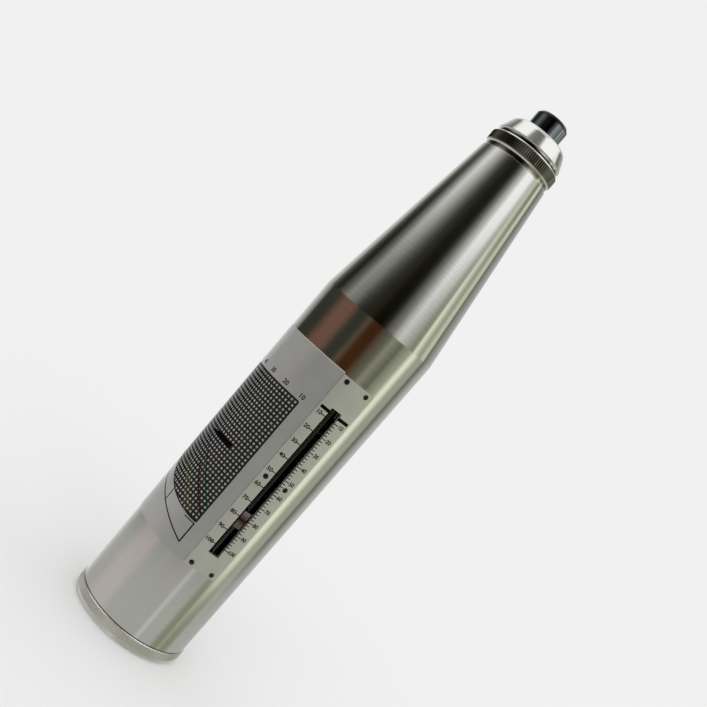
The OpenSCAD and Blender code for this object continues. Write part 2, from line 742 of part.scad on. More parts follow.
// The flank leans in from the groove and runs round the front edge into the end face
module front_cap() {
    groove_r = nose_groove_d / 2;
    ring_r = nose_ring_d / 2;
    edge_r = groove_r - (nose_end_z - flank_z) * tan(nose_angle);
    round_r = edge_r - nose_round * tan(45 - nose_angle / 2);
    root_r = ring_r - nose_knurl - knurl_step;
    knurl_z = nose_ring_z + nose_edge_h;
    color("whitesmoke") difference() {
        union() {
            rotate_extrude() polygon(concat(
                [
                    [0, nose_ring_z],
                    [root_r - minor_bevel, nose_ring_z],
                    [root_r, nose_ring_z + nose_edge_h],
                    [root_r, groove_z - nose_edge_h],
                    [root_r - minor_bevel, groove_z],
                    [groove_r - minor_bevel, groove_z],
                    [groove_r - minor_bevel, flank_z - minor_bevel],
                    [groove_r, flank_z]
                ],
                arc_points([round_r, nose_end_z - nose_round], nose_round, nose_angle, 90),
                [[0, nose_end_z]]
            ));
            translate([0, 0, knurl_z]) linear_extrude(nose_ring_h - 2 * nose_edge_h)
                polygon(knurl_outline(ring_r, nose_knurl, nose_knurl_teeth));
        }
        rod_between(front_thread_d + 2 * seat_gap, nose_ring_z - cut, front_z + seat_gap);
        rod_between(sleeve_d + 2 * ring_proud + 2 * seat_gap, front_z, ring_end_z + seat_gap);
        rod_between(sleeve_d + 2 * seat_gap, ring_end_z, sleeve_end_z + seat_gap);
        rod_between(felt_d + 2 * seat_gap, sleeve_end_z, nose_wall_z);
        rod_between(plunger_bore_d, nose_wall_z - cut, nose_end_z + cut);
    }
}

module scale_plate() {
    color("lightgray") difference() {
        wrapped(-plate_left, plate_right, plate_r, plate_t, plate_z, plate_end_z);
        in_slot(slot_w, barrel_r / 2, barrel_r + cut + plate_t, slot_z, slot_end_z);
        at_plate_screws()
            rod_between(plate_shank_d + 2 * seat_gap, barrel_r - cut, barrel_r + plate_t + cut);
    }
}

module plate_screws() {
    head_r = plate_r + plate_t + seat_gap;
    color("black") at_plate_screws() {
        rod_between(plate_shank_d, barrel_r - plate_shank_l, head_r);
        translate([0, 0, head_r])
            cylinder(d1 = plate_screw_d, d2 = plate_screw_d - plate_screw_h, h = plate_screw_h);
    }
}

module chart_label() {
    color("lightgray") wrapped(-plate_left - seat_gap - label_w, -plate_left - seat_gap,
        plate_r, label_t, label_z, plate_end_z + label_over);
}

module rider() {
    low = index_z - rider_l / 2;
    high = index_z + rider_l / 2;
    color("rosybrown") difference() {
        union() {
            in_slot(rider_w, rider_low_r, rider_top_r, low, high);
            in_slot(face_w, rider_low_r, face_r, low, high);
        }
        translate([0, -rider_rod_r, index_z])
            cylinder(d = rider_rod_d + 2 * running_fit, h = rider_l + 2 * cut, center = true);
    }
}

module rider_leaf() {
    top = rider_low_r - seat_gap;
    catch_z = index_z - leaf_reach - free_gap;
    color("gold") rotate([0, -90, 0]) linear_extrude(leaf_w, center = true) polygon([
        [index_z + rider_l / 2 - minor_bevel, -top],
        [index_z - rider_l / 4, -top],
        [catch_z, -leaf_tip_r - leaf_t],
        [catch_z, -leaf_tip_r],
        [index_z - rider_l / 4, leaf_t - top],
        [index_z + rider_l / 2 - minor_bevel, leaf_t - top]
    ]);
}

module rider_rod() {
    color("silver") translate([0, -rider_rod_r, 0])
        rod_between(rider_rod_d, rear_block_z, front_block_z + block_l);
}

module rod_blocks() {
    color("gray") difference() {
        union() {
            block_lips(0);
            for (z = [rear_block_z, front_block_z])
                in_slot(rider_slot_w - 2 * seat_gap, rider_low_r, lip_r, z, z + block_l);
        }
        translate([0, -rider_rod_r, 0])
            rod_between(rider_rod_d + 2 * seat_gap, rear_block_z - cut, front_block_z + block_l + cut);
    }
}

module button() {
    hollow_r = button_d / 2 - button_wall;
    hollow_top = button_top_r - button_wall;
    groove_d = stem_d - 2 * clip_groove;
    color("black") at_button() {
        difference() {
            rod_between(button_d, button_low_r, button_top_r - minor_bevel);
            rod_between(2 * hollow_r, button_low_r - cut, hollow_top);
        }
        translate([0, 0, button_top_r - minor_bevel])
            cylinder(d1 = button_d, d2 = button_d - 2 * minor_bevel, h = minor_bevel);
        rod_between(stem_d, clip_top_r, hollow_top);
        rod_between(groove_d, clip_low_r, clip_top_r);
        rod_between(stem_d, stem_low_r, clip_low_r);
    }
}

module button_bush() {
    color("silver") at_button() difference() {
        union() {
            rod_between(bush_d, bush_low_r, spot_r + seat_gap);
            rod_between(bush_collar_d, spot_r + seat_gap, bush_top_r);
        }
        rod_between(stem_d + 2 * running_fit, bush_low_r - cut, bush_top_r + cut);
    }
}

module button_spring() {
    mean_r = stem_d / 2 + running_fit + button_wire_d;
    color("gray") at_button() coil("button_spring", mean_r, button_wire_d, button_turns,
        bush_top_r + seat_gap, button_top_r - button_wall - seat_gap, small_coil_rings);
}

module button_clip() {
    inner_r = stem_d / 2 - clip_groove + seat_gap;
    clip_opening = 60;
    color("dimgray") at_button() rotate([0, 0, clip_opening / 2])
        rotate_extrude(angle = 360 - clip_opening)
            translate([inner_r, clip_low_r + seat_gap])
                square([clip_d / 2 - inner_r, clip_t - 2 * seat_gap]);
}

housing();
rear_cap();
trip_screw();
lock_nut();
compression_spring();
guide_flange();
guide_rod();
pawl();
pawl_pin();
pawl_spring();
hammer_mass();
impact_spring();
plunger();
buffer_spring();
guide_sleeve();
split_ring();
felt_ring();
front_cap();
scale_plate();
plate_screws();
chart_label();
rider();
rider_leaf();
rider_rod();
rod_blocks();
button();
button_bush();
button_spring();
button_clip();
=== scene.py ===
import math
import bmesh
import bpy
from mathutils import Matrix, Vector


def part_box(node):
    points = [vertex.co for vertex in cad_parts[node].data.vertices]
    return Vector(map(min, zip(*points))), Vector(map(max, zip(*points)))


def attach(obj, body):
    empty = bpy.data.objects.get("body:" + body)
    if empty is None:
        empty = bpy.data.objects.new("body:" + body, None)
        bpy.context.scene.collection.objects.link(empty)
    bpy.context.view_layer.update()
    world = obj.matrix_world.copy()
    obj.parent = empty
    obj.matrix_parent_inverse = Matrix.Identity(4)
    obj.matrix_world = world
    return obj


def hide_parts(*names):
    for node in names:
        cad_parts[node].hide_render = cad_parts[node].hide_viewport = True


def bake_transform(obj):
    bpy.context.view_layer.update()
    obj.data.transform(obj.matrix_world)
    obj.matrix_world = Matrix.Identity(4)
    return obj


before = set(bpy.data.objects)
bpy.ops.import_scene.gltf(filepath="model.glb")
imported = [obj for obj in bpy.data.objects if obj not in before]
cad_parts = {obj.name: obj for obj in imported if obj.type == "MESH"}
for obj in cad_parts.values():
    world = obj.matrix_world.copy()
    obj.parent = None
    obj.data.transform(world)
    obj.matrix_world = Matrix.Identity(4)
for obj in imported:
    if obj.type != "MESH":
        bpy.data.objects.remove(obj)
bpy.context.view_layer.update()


# The housing is one turned aluminium tube: a straight barrel that runs into a long cone and a threaded nose.
# It is turned on a lathe, left with its fine tool rings, and milled through in front for the reading slot.
# A spot face on the back takes the lock button's bush.
mm = 0.001
housing_low, housing_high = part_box("housing")
barrel_r = housing_high.x / mm
seam_z = housing_low.z / mm
front_z = housing_high.z / mm
shoulder_z = 167.4
cone_end_z = 249.0
neck_end_z = 250.9
barrel_outline = [
    (25.0, seam_z, 0.1), (barrel_r, seam_z, 0.35), (barrel_r, shoulder_z, 0.5), (16.1, cone_end_z, 0.2),
    (15.5, cone_end_z, 0), (15.5, neck_end_z, 0.15), (13.5, neck_end_z, 0), (13.5, front_z, 0.3),
    (11.52, front_z, 0.2), (11.52, 240.0, 0), (12.6, 240.0, 0), (21.8, 161.7, 0),
    (21.8, 116.8, 0.2), (24.0, 116.8, 0), (24.0, 16.9, 0), (25.0, 16.9, 0),
]


def rounded(corners, closed, steps=4):
    """Points of an outline whose corners are (radius, height, length cut off on each side by a round)."""
    points = []
    last = len(corners) - 1
    for number, (radius, height, length) in enumerate(corners):
        corner = Vector((radius, height))
        if length == 0 or (not closed and number in (0, last)):
            points.append(corner)
            continue
        before = (Vector(corners[number - 1][:2]) - corner).normalized()
        after = (Vector(corners[(number + 1) % len(corners)][:2]) - corner).normalized()
        half = before.angle(after) / 2
        middle = corner + (before + after).normalized() * length / math.cos(half)
        start = corner + before * length - middle
        end = corner + after * length - middle
        sweep = start.angle(end)
        for step in range(steps + 1):
            share = step / steps
            turn = math.sin((1 - share) * sweep) * start + math.sin(share * sweep) * end
            points.append(middle + turn / math.sin(sweep))
    return points


def as_mesh(name, shape):
    """Turns a shape's normals outward, writes it to a new mesh and frees it."""
    bmesh.ops.recalc_face_normals(shape, faces=shape.faces)
    mesh = bpy.data.meshes.new(name)
    shape.to_mesh(mesh)
    shape.free()
    return mesh


def turned(corners, closed=True, sides=192):
    """Mesh of a turned piece from its outline in millimetres, a closed ring or from axis to axis."""
    shape = bmesh.new()
    rings = []
    for point in rounded(corners, closed):
        if point.x < 1e-6:
            rings.append([shape.verts.new((0, 0, point.y * mm))] * sides)
            continue
        ring = []
        for side in range(sides):
            angle = 2 * math.pi * side / sides
            place = (point.x * math.sin(angle) * mm, -point.x * math.cos(angle) * mm, point.y * mm)
            ring.append(shape.verts.new(place))
        rings.append(ring)
    pairs = list(zip(rings, rings[1:]))
    if closed:
        pairs.append((rings[-1], rings[0]))
    for lower, upper in pairs:
        for side in range(sides):
            after = (side + 1) % sides
            around = dict.fromkeys([lower[side], lower[after], upper[after], upper[side]])
            if len(around) > 2:
                shape.faces.new(list(around))
    return as_mesh("turned", shape)


def placed(name, data):
    """New object at the origin for a mesh that is already in place, or for a text, a lamp or a camera."""
    data.name = name
    item = bpy.data.objects.new(name, data)
    bpy.context.scene.collection.objects.link(item)
    return item


def plain_mesh(item):
    """New mesh of an object as its modifiers leave it."""
    view = bpy.context.evaluated_depsgraph_get()
    return bpy.data.meshes.new_from_object(item.evaluated_get(view), depsgraph=view)


def applied(item):
    """Turns an object's modifiers into plain mesh."""
    mesh = plain_mesh(item)
    item.modifiers.clear()
    spent = item.data
    item.data = mesh
    mesh.name = item.name
    bpy.data.meshes.remove(spent)


def remove(item):
    """Takes a helper object and its mesh out of the file."""
    mesh = item.data
    bpy.data.objects.remove(item)
    bpy.data.meshes.remove(mesh)


def cut_away(item, tools):
    """Cuts the tool objects out of a piece."""
    for tool in tools:
        boolean = item.modifiers.new("cut", "BOOLEAN")
        boolean.operation = "DIFFERENCE"
        boolean.solver = "EXACT"
        boolean.object = tool
    applied(item)
    for tool in tools:
        remove(tool)


def block(low, high):
    """Box mesh between two corners in millimetres."""
    shape = bmesh.new()
    bmesh.ops.create_cube(shape, size=1)
    low = Vector(low) * mm
    high = Vector(high) * mm
    for vertex in shape.verts:
        vertex.co = (low + high) / 2 + vertex.co * (high - low)
    return as_mesh("block", shape)


cutter_end = 40


def round_cutter(radius, low, high=cutter_end, sides=64):
    """Mesh of a plain cylinder round +Z between two heights in millimetres."""
    return turned([(0, low, 0), (radius, low, 0), (radius, high, 0), (0, high, 0)], False, sides)


def facing_back(mesh, height):
    """Turns a mesh made round +Z so that it points out of the back of the barrel at that height."""
    mesh.transform(Matrix.Translation((0, 0, height * mm)) @ Matrix.Rotation(math.radians(-90), 4, "X"))
    return mesh


def smooth(item, sharp_degrees=32):
    """Shades a piece smoothly between its real edges, with the large faces keeping their true normals."""
    item.data.shade_smooth()
    item.data.set_sharp_from_angle(angle=math.radians(sharp_degrees))
    weighted = item.modifiers.new("large faces lead", "WEIGHTED_NORMAL")
    weighted.keep_sharp = True
    weighted.weight = 100
    applied(item)


def colour(code):
    """Linear colour for an sRGB hex code."""
    parts = [int(code[place:place + 2], 16) / 255 for place in (0, 2, 4)]
    linear = [part / 12.92 if part <= 0.04045 else ((part + 0.055) / 1.055) ** 2.4 for part in parts]
    return (*linear, 1)


def set_input(socket, value):
    """Sets a socket's own value, or links a socket or the first output of a node to it."""
    source = getattr(value, "outputs", [value])[0]
    if isinstance(source, bpy.types.NodeSocket):
        socket.id_data.links.new(source, socket)
    else:
        socket.default_value = value


def add_node(tree, kind, inputs=None, **settings):
    """Adds one node: settings are its own, and inputs are values or sources for its sockets."""
    node = tree.nodes.new(kind)
    for key, value in settings.items():
        setattr(node, key, value)
    for key, value in (inputs or {}).items():
        set_input(node.inputs[key], value)
    return node


def feed(shader, **inputs):
    """Gives a shader's named sockets their values or sources."""
    for key, value in inputs.items():
        set_input(shader.inputs[key.replace("_", " ")], value)


def finish(name, **inputs):
    """New material with its Principled shader fed; returns also its tree, shader and object coordinates."""
    material = bpy.data.materials.new(name)
    material.use_nodes = True
    tree = material.node_tree
    shader = tree.nodes["Principled BSDF"]
    feed(shader, **inputs)
    place = add_node(tree, "ShaderNodeTexCoord").outputs["Object"]
    return material, tree, shader, place


def ramp(tree, source, stops):
    """Colour ramp with (position, hex code) stops."""
    node = add_node(tree, "ShaderNodeValToRGB", {0: source})
    elements = node.color_ramp.elements
    while len(elements) < len(stops):
        elements.new(0.5)
    for element, (position, code) in zip(elements, stops):
        element.position = position
        element.color = colour(code)
    return node


def between(tree, source, low, high, least=0, most=1, **settings):
    """Value that goes from least to most while the source goes from low to high."""
    inputs = {"Value": source, "From Min": low, "From Max": high, "To Min": least, "To Max": most}
    return add_node(tree, "ShaderNodeMapRange", inputs, **settings)


def noise(tree, place, scale, detail=2, roughness=0.5, distortion=0):
    """Noise in space."""
    inputs = {"Scale": scale, "Detail": detail, "Roughness": roughness, "Distortion": distortion}
    return add_node(tree, "ShaderNodeTexNoise", inputs | {"Vector": place})


def bump(tree, height, depth, strength=1):
    """Uneven surface from a height; its depth is in millimetres."""
    inputs = {"Height": height, "Strength": strength, "Distance": depth * mm}
    return add_node(tree, "ShaderNodeBump", inputs)


def mottled(tree, source, dark, light, least, most):
    """Colour and roughness that follow a noise together."""
    low = 0.3
    high = 0.7
    return ramp(tree, source, [(low, dark), (high, light)]), between(tree, source, low, high, least, most)


def parts_of(tree, vector):
    """X, Y and Z outputs of a vector."""
    return add_node(tree, "ShaderNodeSeparateXYZ", {0: vector}).outputs


def mixed(tree, share, face, code):
    """Goes from a face's colour to another one with a share."""
    return add_node(tree, "ShaderNodeMixRGB", {0: share, 1: face, 2: colour(code)})


def stained(tree, face, height, low, high, code):
    """Lays a film of colour on a face between two heights in millimetres."""
    inputs = {0: height, 1: (low + high) / 2 * mm, 2: (high - low) / 2 * mm}
    inside = add_node(tree, "ShaderNodeMath", inputs, operation="COMPARE")
    return mixed(tree, inside, face, code)


def turned_metal(name, dark, light, roughness, ring_pitch, ring_depth, blur, films=()):
    """Turned bare metal: rings across the axis, clouded sheen, and a reflection drawn out along the axis.
    A film is given as (low, high, hex code)."""
    material, tree, shader, place = finish(name, Metallic=1, Anisotropic=blur, Anisotropic_Rotation=0.25)
    height = parts_of(tree, place)["Z"]
    rings = add_node(tree, "ShaderNodeTexNoise", {"W": height, "Scale": 1 / (ring_pitch * mm), "Detail": 2},
                     noise_dimensions="1D")
    clouds = noise(tree, place, scale=45, detail=5, roughness=0.6)
    wear = add_node(tree, "ShaderNodeMix", {0: 0.5, 2: clouds, 3: rings})
    face, sheen = mottled(tree, wear, dark, light, roughness * 0.85, roughness * 1.2)
    for film in films:
        face = stained(tree, face, height, *film)
    around = add_node(tree, "ShaderNodeTangent", direction_type="RADIAL", axis="Z")
    feed(shader, Base_Color=face, Roughness=sheen, Normal=bump(tree, rings, ring_depth), Tangent=around)
    return material


def dress(item, material):
    """Gives a piece or a CAD node its material."""
    item.data.materials.clear()
    item.data.materials.append(material)


def mount(item, material, slot, body, *nodes):
    """Dresses a finished piece, fixes it to its body and hides the CAD nodes that it stands for."""
    dress(item, material)
    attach(item, body)
    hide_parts(*nodes)


housing = placed("housing_turned", turned(barrel_outline, sides=256))
cut_half = 3.3
cut_floor = 20
cut_low_z = 51.78
cut_high_z = 141.02
lip_half = 4.52
lip_length = 2.84
lip_floor = 26.39
button_z = 47.0
screw_places = [(x, z) for x in (-4.6, 5.6) for z in (46.9, 93.15, 142.2)]
slot = block((-cut_half, -cutter_end, cut_low_z), (cut_half, -cut_floor, cut_high_z))
housing_tools = [placed("slot_cutter", slot)]
for lip_z in (cut_low_z, cut_high_z - lip_length):
    lip = block((-lip_half, -cutter_end, lip_z), (lip_half, -lip_floor, lip_z + lip_length))
    housing_tools.append(placed("lip_cutter", lip))
for bore_r, bore_floor in ((5.22, 10), (7.1, 27)):
    housing_tools.append(placed("bush_cutter", facing_back(round_cutter(bore_r, bore_floor), button_z)))
for x, z in screw_places:
    hole = facing_back(round_cutter(radius=0.82, low=25.08, sides=24), z)
    hole.transform(Matrix.Rotation(math.pi + x / barrel_r, 4, "Z"))
    housing_tools.append(placed("screw_cutter", hole))
cut_away(housing, housing_tools)
smooth(housing)
# Satin aluminium: soft streaks along the barrel, and tool rings, drawn coarser than the fine real ones.
# Painted shade darkens the neck under the front cap's overhang, and a dark line marks the seam above the
# rear cap.
neck_shade_and_seam_films = [(cone_end_z + 0.8, neck_end_z + 0.05, "9A9486"), (seam_z - 0.1, seam_z + 0.45, "5C5A56")]
satin_aluminium = turned_metal("turned_aluminium", "D6D6D5", "E1E1E0", roughness=0.11, ring_pitch=0.7,
                               ring_depth=0.0011, blur=0.5, films=neck_shade_and_seam_films)
mount(housing, satin_aluminium, "satin_aluminium", "housing", "housing")


# The rear cap is a turned aluminium plug with a bevelled edge, screwed into the barrel behind a fine seam.
# A straight knurl is rolled into its rim for the fingers, and a recess holds the trip screw and its nut.
rim_knurl_z = 2.1
rear_cap_outline = [
    (3.02, 6.0, 0), (9.0, 6.0, 0), (9.0, 0.0, 0.3), (26.0, 0.0, 0.3), (27.5, rim_knurl_z, 0.1),
    (27.5, seam_z, 0.1), (24.98, seam_z, 0), (24.98, 16.4, 0.4), (21.93, 16.4, 0.3), (21.93, 8.0, 0),
    (10.0, 8.0, 0), (10.0, 13.0, 0.5), (3.02, 13.0, 0.3),
]


def geometry_tree(name, **sockets):
    """New geometry node tree with a geometry input and output and its named inputs."""
    tree = bpy.data.node_groups.new(name, "GeometryNodeTree")
    tree.is_modifier = True
    tree.interface.new_socket("Geometry", in_out="INPUT", socket_type="NodeSocketGeometry")
    tree.interface.new_socket("Geometry", in_out="OUTPUT", socket_type="NodeSocketGeometry")
    for label, kind in sockets.items():
        tree.interface.new_socket(label.replace("_", " "), in_out="INPUT", socket_type="NodeSocket" + kind)
    return tree, tree.nodes.new("NodeGroupInput").outputs


def end_tree(tree, geometry, material):
    """Closes a geometry node tree: instances made real, material set, geometry out."""
    real = add_node(tree, "GeometryNodeRealizeInstances", {0: geometry})
    coated = add_node(tree, "GeometryNodeSetMaterial", {"Geometry": real, "Material": material})
    add_node(tree, "NodeGroupOutput", {0: coated})


def start_mesh(points=(), edges=(), **vectors):
    """Bare points in millimetres that a geometry node tree starts from, with named vectors for each."""
    mesh = bpy.data.meshes.new("start")
    mesh.from_pydata([[part * mm for part in point] for point in points], edges, [])
    for name, values in vectors.items():
        attribute = mesh.attributes.new(name, "FLOAT_VECTOR", "POINT")
        for number, value in enumerate(values):
            attribute.data[number].vector = value
    return mesh


def grown(tree, mesh, **values):
    """Mesh that a geometry node tree makes from a start mesh and its named inputs."""
    item = placed(tree.name, mesh)
    modifier = item.modifiers.new(tree.name, "NODES")
    modifier.node_group = tree
    for socket in tree.interface.items_tree:
        label = socket.name.replace(" ", "_")
        if socket.in_out == "INPUT" and label in values:
            modifier[socket.identifier] = values[label]
    applied(item)
    mesh = item.data
    bpy.data.objects.remove(item)
    return mesh


# One tooth stands at each point of a circle and turns with it.
knurl_tree, inputs = geometry_tree("straight_knurl", Teeth="Int", Radius="Float", Tooth="Object",
                                   Metal="Material")
circle = add_node(knurl_tree, "GeometryNodeMeshCircle",
                  {"Vertices": inputs["Teeth"], "Radius": inputs["Radius"]})
place = add_node(knurl_tree, "GeometryNodeInputPosition")
turn = add_node(knurl_tree, "FunctionNodeAlignRotationToVector", {"Vector": place},
                axis="X", pivot_axis="Z")
tooth = add_node(knurl_tree, "GeometryNodeObjectInfo", {"Object": inputs["Tooth"]})
teeth = add_node(knurl_tree, "GeometryNodeInstanceOnPoints",
                 {"Points": circle, "Instance": tooth.outputs["Geometry"], "Rotation": turn})
end_tree(knurl_tree, teeth, inputs["Metal"])


def knurl_mesh(teeth, crest_r, depth, low, high, metal):
    """Ring of closed three-sided teeth with sloping ends, sunk a little into the metal under them."""
    sunk = 0.25
    half_width = math.pi * crest_r / teeth * (1 + sunk / depth)
    slope = depth + sunk
    shape = bmesh.new()
    ends = []
    for foot_z, crest_z in ((low, low + slope), (high, high - slope)):
        left = shape.verts.new((-slope * mm, -half_width * mm, foot_z * mm))
        right = shape.verts.new((-slope * mm, half_width * mm, foot_z * mm))
        crest = shape.verts.new((0, 0, crest_z * mm))
        ends.append((left, right, crest))
        shape.faces.new((left, right, crest))
    for first in range(3):
        second = (first + 1) % 3
        shape.faces.new((ends[0][first], ends[0][second], ends[1][second], ends[1][first]))
    tooth = placed("tooth", as_mesh("tooth", shape))
    ring = grown(knurl_tree, start_mesh(), Teeth=teeth, Radius=crest_r * mm, Tooth=tooth, Metal=metal)
    remove(tooth)
    return ring


# Pale aluminium for the cap, and the same metal rubbed dull on the knurl.
cap_aluminium = turned_metal("pale_aluminium", "D4D4D0", "E0E0DD", roughness=0.26, ring_pitch=0.3,
                             ring_depth=0.003, blur=0.4)
knurl_aluminium = turned_metal("rolled_aluminium", "DCDCD8", "EAEAE6", roughness=0.3, ring_pitch=0.6,
                               ring_depth=0.002, blur=0)
rear_cap = placed("rear_cap_turned", turned(rear_cap_outline))
smooth(rear_cap)
mount(rear_cap, cap_aluminium, "knurled_aluminium", "housing", "rear_cap")
rim_teeth = knurl_mesh(teeth=144, crest_r=27.9, depth=0.35, low=rim_knurl_z, high=seam_z,
                       metal=knurl_aluminium)
mount(placed("rear_cap_knurl", rim_teeth), knurl_aluminium, "knurled_aluminium", "housing", "rear_cap")


# The trip screw is blackened steel and its lock nut plain steel, set once when the hammer is adjusted.
# They stay as the CAD makes them, down in the rear cap's recess.
def plain_metal(name, dark, light, roughness, grain, depth):
    """Metal with mottled colour and sheen and a fine uneven surface; grain and depth are in millimetres."""
    material, tree, shader, place = finish(name, Metallic=1)
    mottle = noise(tree, place, 1 / (grain * 12 * mm), detail=6, roughness=0.65)
    tint, sheen = mottled(tree, mottle, dark, light, roughness * 0.8, roughness * 1.25)
    fine = noise(tree, place, 1 / (grain * mm))
    feed(shader, Base_Color=tint, Roughness=sheen, Normal=bump(tree, fine, depth))
    return material


def dress_nodes(material, slot, *names):
    """Gives CAD nodes that stay as they are their material; the slot is not used."""
    for name in names:
        dress(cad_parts[name], material)


# Blackened steel: near-black with a dull oily sheen.
black_steel = plain_metal("blackened_steel", "3A3A3C", "4A4B4D", roughness=0.32, grain=0.4, depth=0.004)
dress_nodes(black_steel, "black_steel", "trip_screw")
# Machined steel: grey and even, as the cutter leaves it.
plain_steel = plain_metal("machined_steel", "A9ABAD", "BBBCBD", roughness=0.3, grain=0.35, depth=0.004)
dress_nodes(plain_steel, "plain_steel", "lock_nut")


# The moving carriage: the guide flange that slides in the barrel, the rod that joins it to the plunger,
# and the hook with its pin that draws the hammer mass back. Machined and hardened steel, lightly oiled.
dress_nodes(plain_steel, "plain_steel", "guide_flange")
# Ground steel: the brightest of the three, nearly mirror smooth.
ground_steel = plain_metal("ground_steel", "C3C5C7", "D2D3D4", roughness=0.14, grain=0.25, depth=0.001)
dress_nodes(ground_steel, "ground_steel", "guide_rod", "pawl_pin")
# Hardened steel: darker, with a straw-grey bloom from the heat treatment.
hard_steel = plain_metal("hardened_steel", "8A8680", "A09C95", roughness=0.28, grain=0.5, depth=0.003)
dress_nodes(hard_steel, "hard_steel", "pawl")


# The hammer mass is a plain turned steel cylinder with a collar for the hook behind it.
# It runs free on the guide rod and strikes the plunger's rear face.
dress_nodes(ground_steel, "ground_steel", "hammer_mass")


# Four springs lie along the axis: the long impact spring, the rear spring that pushes the plunger out,
# the short buffer spring inside the plunger and the little one under the hook. All are wound from wire.
coil_tree, inputs = geometry_tree("wound_wire", Mean_Radius="Float", Wire_Radius="Float", Turns="Float",
                                  Length="Float", Steps="Int", Metal="Material")
path = add_node(coil_tree, "GeometryNodeCurveSpiral",
                {"Resolution": inputs["Steps"], "Rotations": inputs["Turns"],
                         "Start Radius": inputs["Mean Radius"], "End Radius": inputs["Mean Radius"],
                         "Height": inputs["Length"]})
wire = add_node(coil_tree, "GeometryNodeCurvePrimitiveCircle",
                {"Resolution": 10, "Radius": inputs["Wire Radius"]})
wound = add_node(coil_tree, "GeometryNodeCurveToMesh",
                 {"Curve": path, "Profile Curve": wire, "Fill Caps": True})
end_tree(coil_tree, wound, inputs["Metal"])
# Spring steel: drawn wire, blue-grey under a film of oil.
spring_steel = plain_metal("spring_wire", "7F8286", "989A9D", roughness=0.26, grain=0.3, depth=0.002)


def coil_mesh(mean_r, wire, turns, low, high, x=0):
    """Wound wire round an axis along Z between two heights in millimetres."""
    mesh = grown(coil_tree, start_mesh(), Mean_Radius=mean_r * mm, Wire_Radius=wire / 2 * mm,
                 Turns=float(turns), Length=(high - low - wire) * mm, Steps=28, Metal=spring_steel)
    mesh.transform(Matrix.Translation((x * mm, 0, (low + wire / 2) * mm)))
    mesh.shade_smooth()
    return mesh


def fix_ends(item, node):
    """Dresses a spring in spring steel, bakes its placing into its mesh and hides its CAD node."""
    dress(item, spring_steel)
    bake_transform(item)
    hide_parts(node)


# The rear spring keeps its locked-in length: stretched, it would run into the stem of a pressed button.
rear_coil = coil_mesh(mean_r=20.93, wire=1.4, turns=12, low=8.02, high=33.98)
mount(placed("compression_spring_wound", rear_coil), spring_steel, "spring_steel", "housing",
      "compression_spring")
impact_low = 164.62
impact_high = 231.08
impact_coil = coil_mesh(mean_r=10.28, wire=1.8, turns=17, low=impact_low, high=impact_high)
fix_ends(placed("impact_spring_wound", impact_coil), "impact_spring")
hook_x = 6.93
hook_low = 28.67
hook_high = 37.98
hook_coil = coil_mesh(mean_r=1.3, wire=0.6, turns=7, low=hook_low, high=hook_high, x=hook_x)
fix_ends(placed("pawl_spring_wound", hook_coil), "pawl_spring")
buffer_coil = coil_mesh(mean_r=3.5, wire=1.0, turns=5, low=205.12, high=215.38)
mount(placed("buffer_spring_wound", buffer_coil), spring_steel, "spring_steel", "carriage", "buffer_spring")


# The plunger is a polished, blackened steel rod with a bevelled, round tip that is pressed on the concrete.
# Its rear bore slides over the guide rod.
plunger_low, plunger_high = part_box("plunger")
plunger_r = plunger_high.x / mm
plunger_rear_z = plunger_low.z / mm
tip_z = plunger_high.z / mm
tip_round = 25.0
tip_edge_r = 6.4
bore_r = 4.06
bore_end_z = 215.4
dome_z = tip_z - tip_round
dome_edge_z = dome_z + math.sqrt(tip_round ** 2 - tip_edge_r ** 2)
plunger_outline = [
    (0, bore_end_z, 0), (bore_r, bore_end_z, 0), (bore_r, plunger_rear_z, 0.3),
    (plunger_r, plunger_rear_z, 0.4), (plunger_r, dome_edge_z - 1.3, 0.25), (tip_edge_r, dome_edge_z, 0.15),
]
for ring_share in (0.8, 0.6, 0.4, 0.2, 0):
    dome_r = tip_edge_r * ring_share
    plunger_outline.append((dome_r, dome_z + math.sqrt(tip_round ** 2 - dome_r ** 2), 0))
plunger = placed("plunger_turned", turned(plunger_outline, closed=False, sides=128))
smooth(plunger)
# Polished black steel: mirrors the room darkly, with faint rings and hazy rubs; a near-black film of painted
# shade covers its bevel and round tip.
plunger_steel = turned_metal("polished_black_steel", "9096A1", "9CA2AE", roughness=0.07, ring_pitch=0.8,
                             ring_depth=0.0005, blur=0.3, films=[(dome_edge_z - 1.6, tip_z + 1, "1C1D20")])
mount(plunger, plunger_steel, "black_steel", "carriage", "plunger")


# Inside the nose a bronze sleeve guides the plunger, held by a split steel ring; a felt ring keeps dust out.
# All three are hidden once the front cap is on.
# Sintered bronze: brown gold, dull and faintly porous.
bronze = plain_metal("sintered_bronze", "A07A45", "B58E55", roughness=0.36, grain=0.3, depth=0.006)
dress_nodes(bronze, "bronze", "guide_sleeve")
dress_nodes(plain_steel, "plain_steel", "split_ring")
# Felt: grey wool, fuzzy and matt.
felt, tree, shader, place = finish("grey_felt", Roughness=0.95, Sheen_Weight=0.4)
fibres = noise(tree, place, scale=3500, detail=6, distortion=1.5)
tint = ramp(tree, fibres, [(0.3, "55534E"), (0.7, "7D7A73")])
feed(shader, Base_Color=tint, Normal=bump(tree, fibres, depth=0.1))
dress_nodes(felt, "felt", "felt_ring")


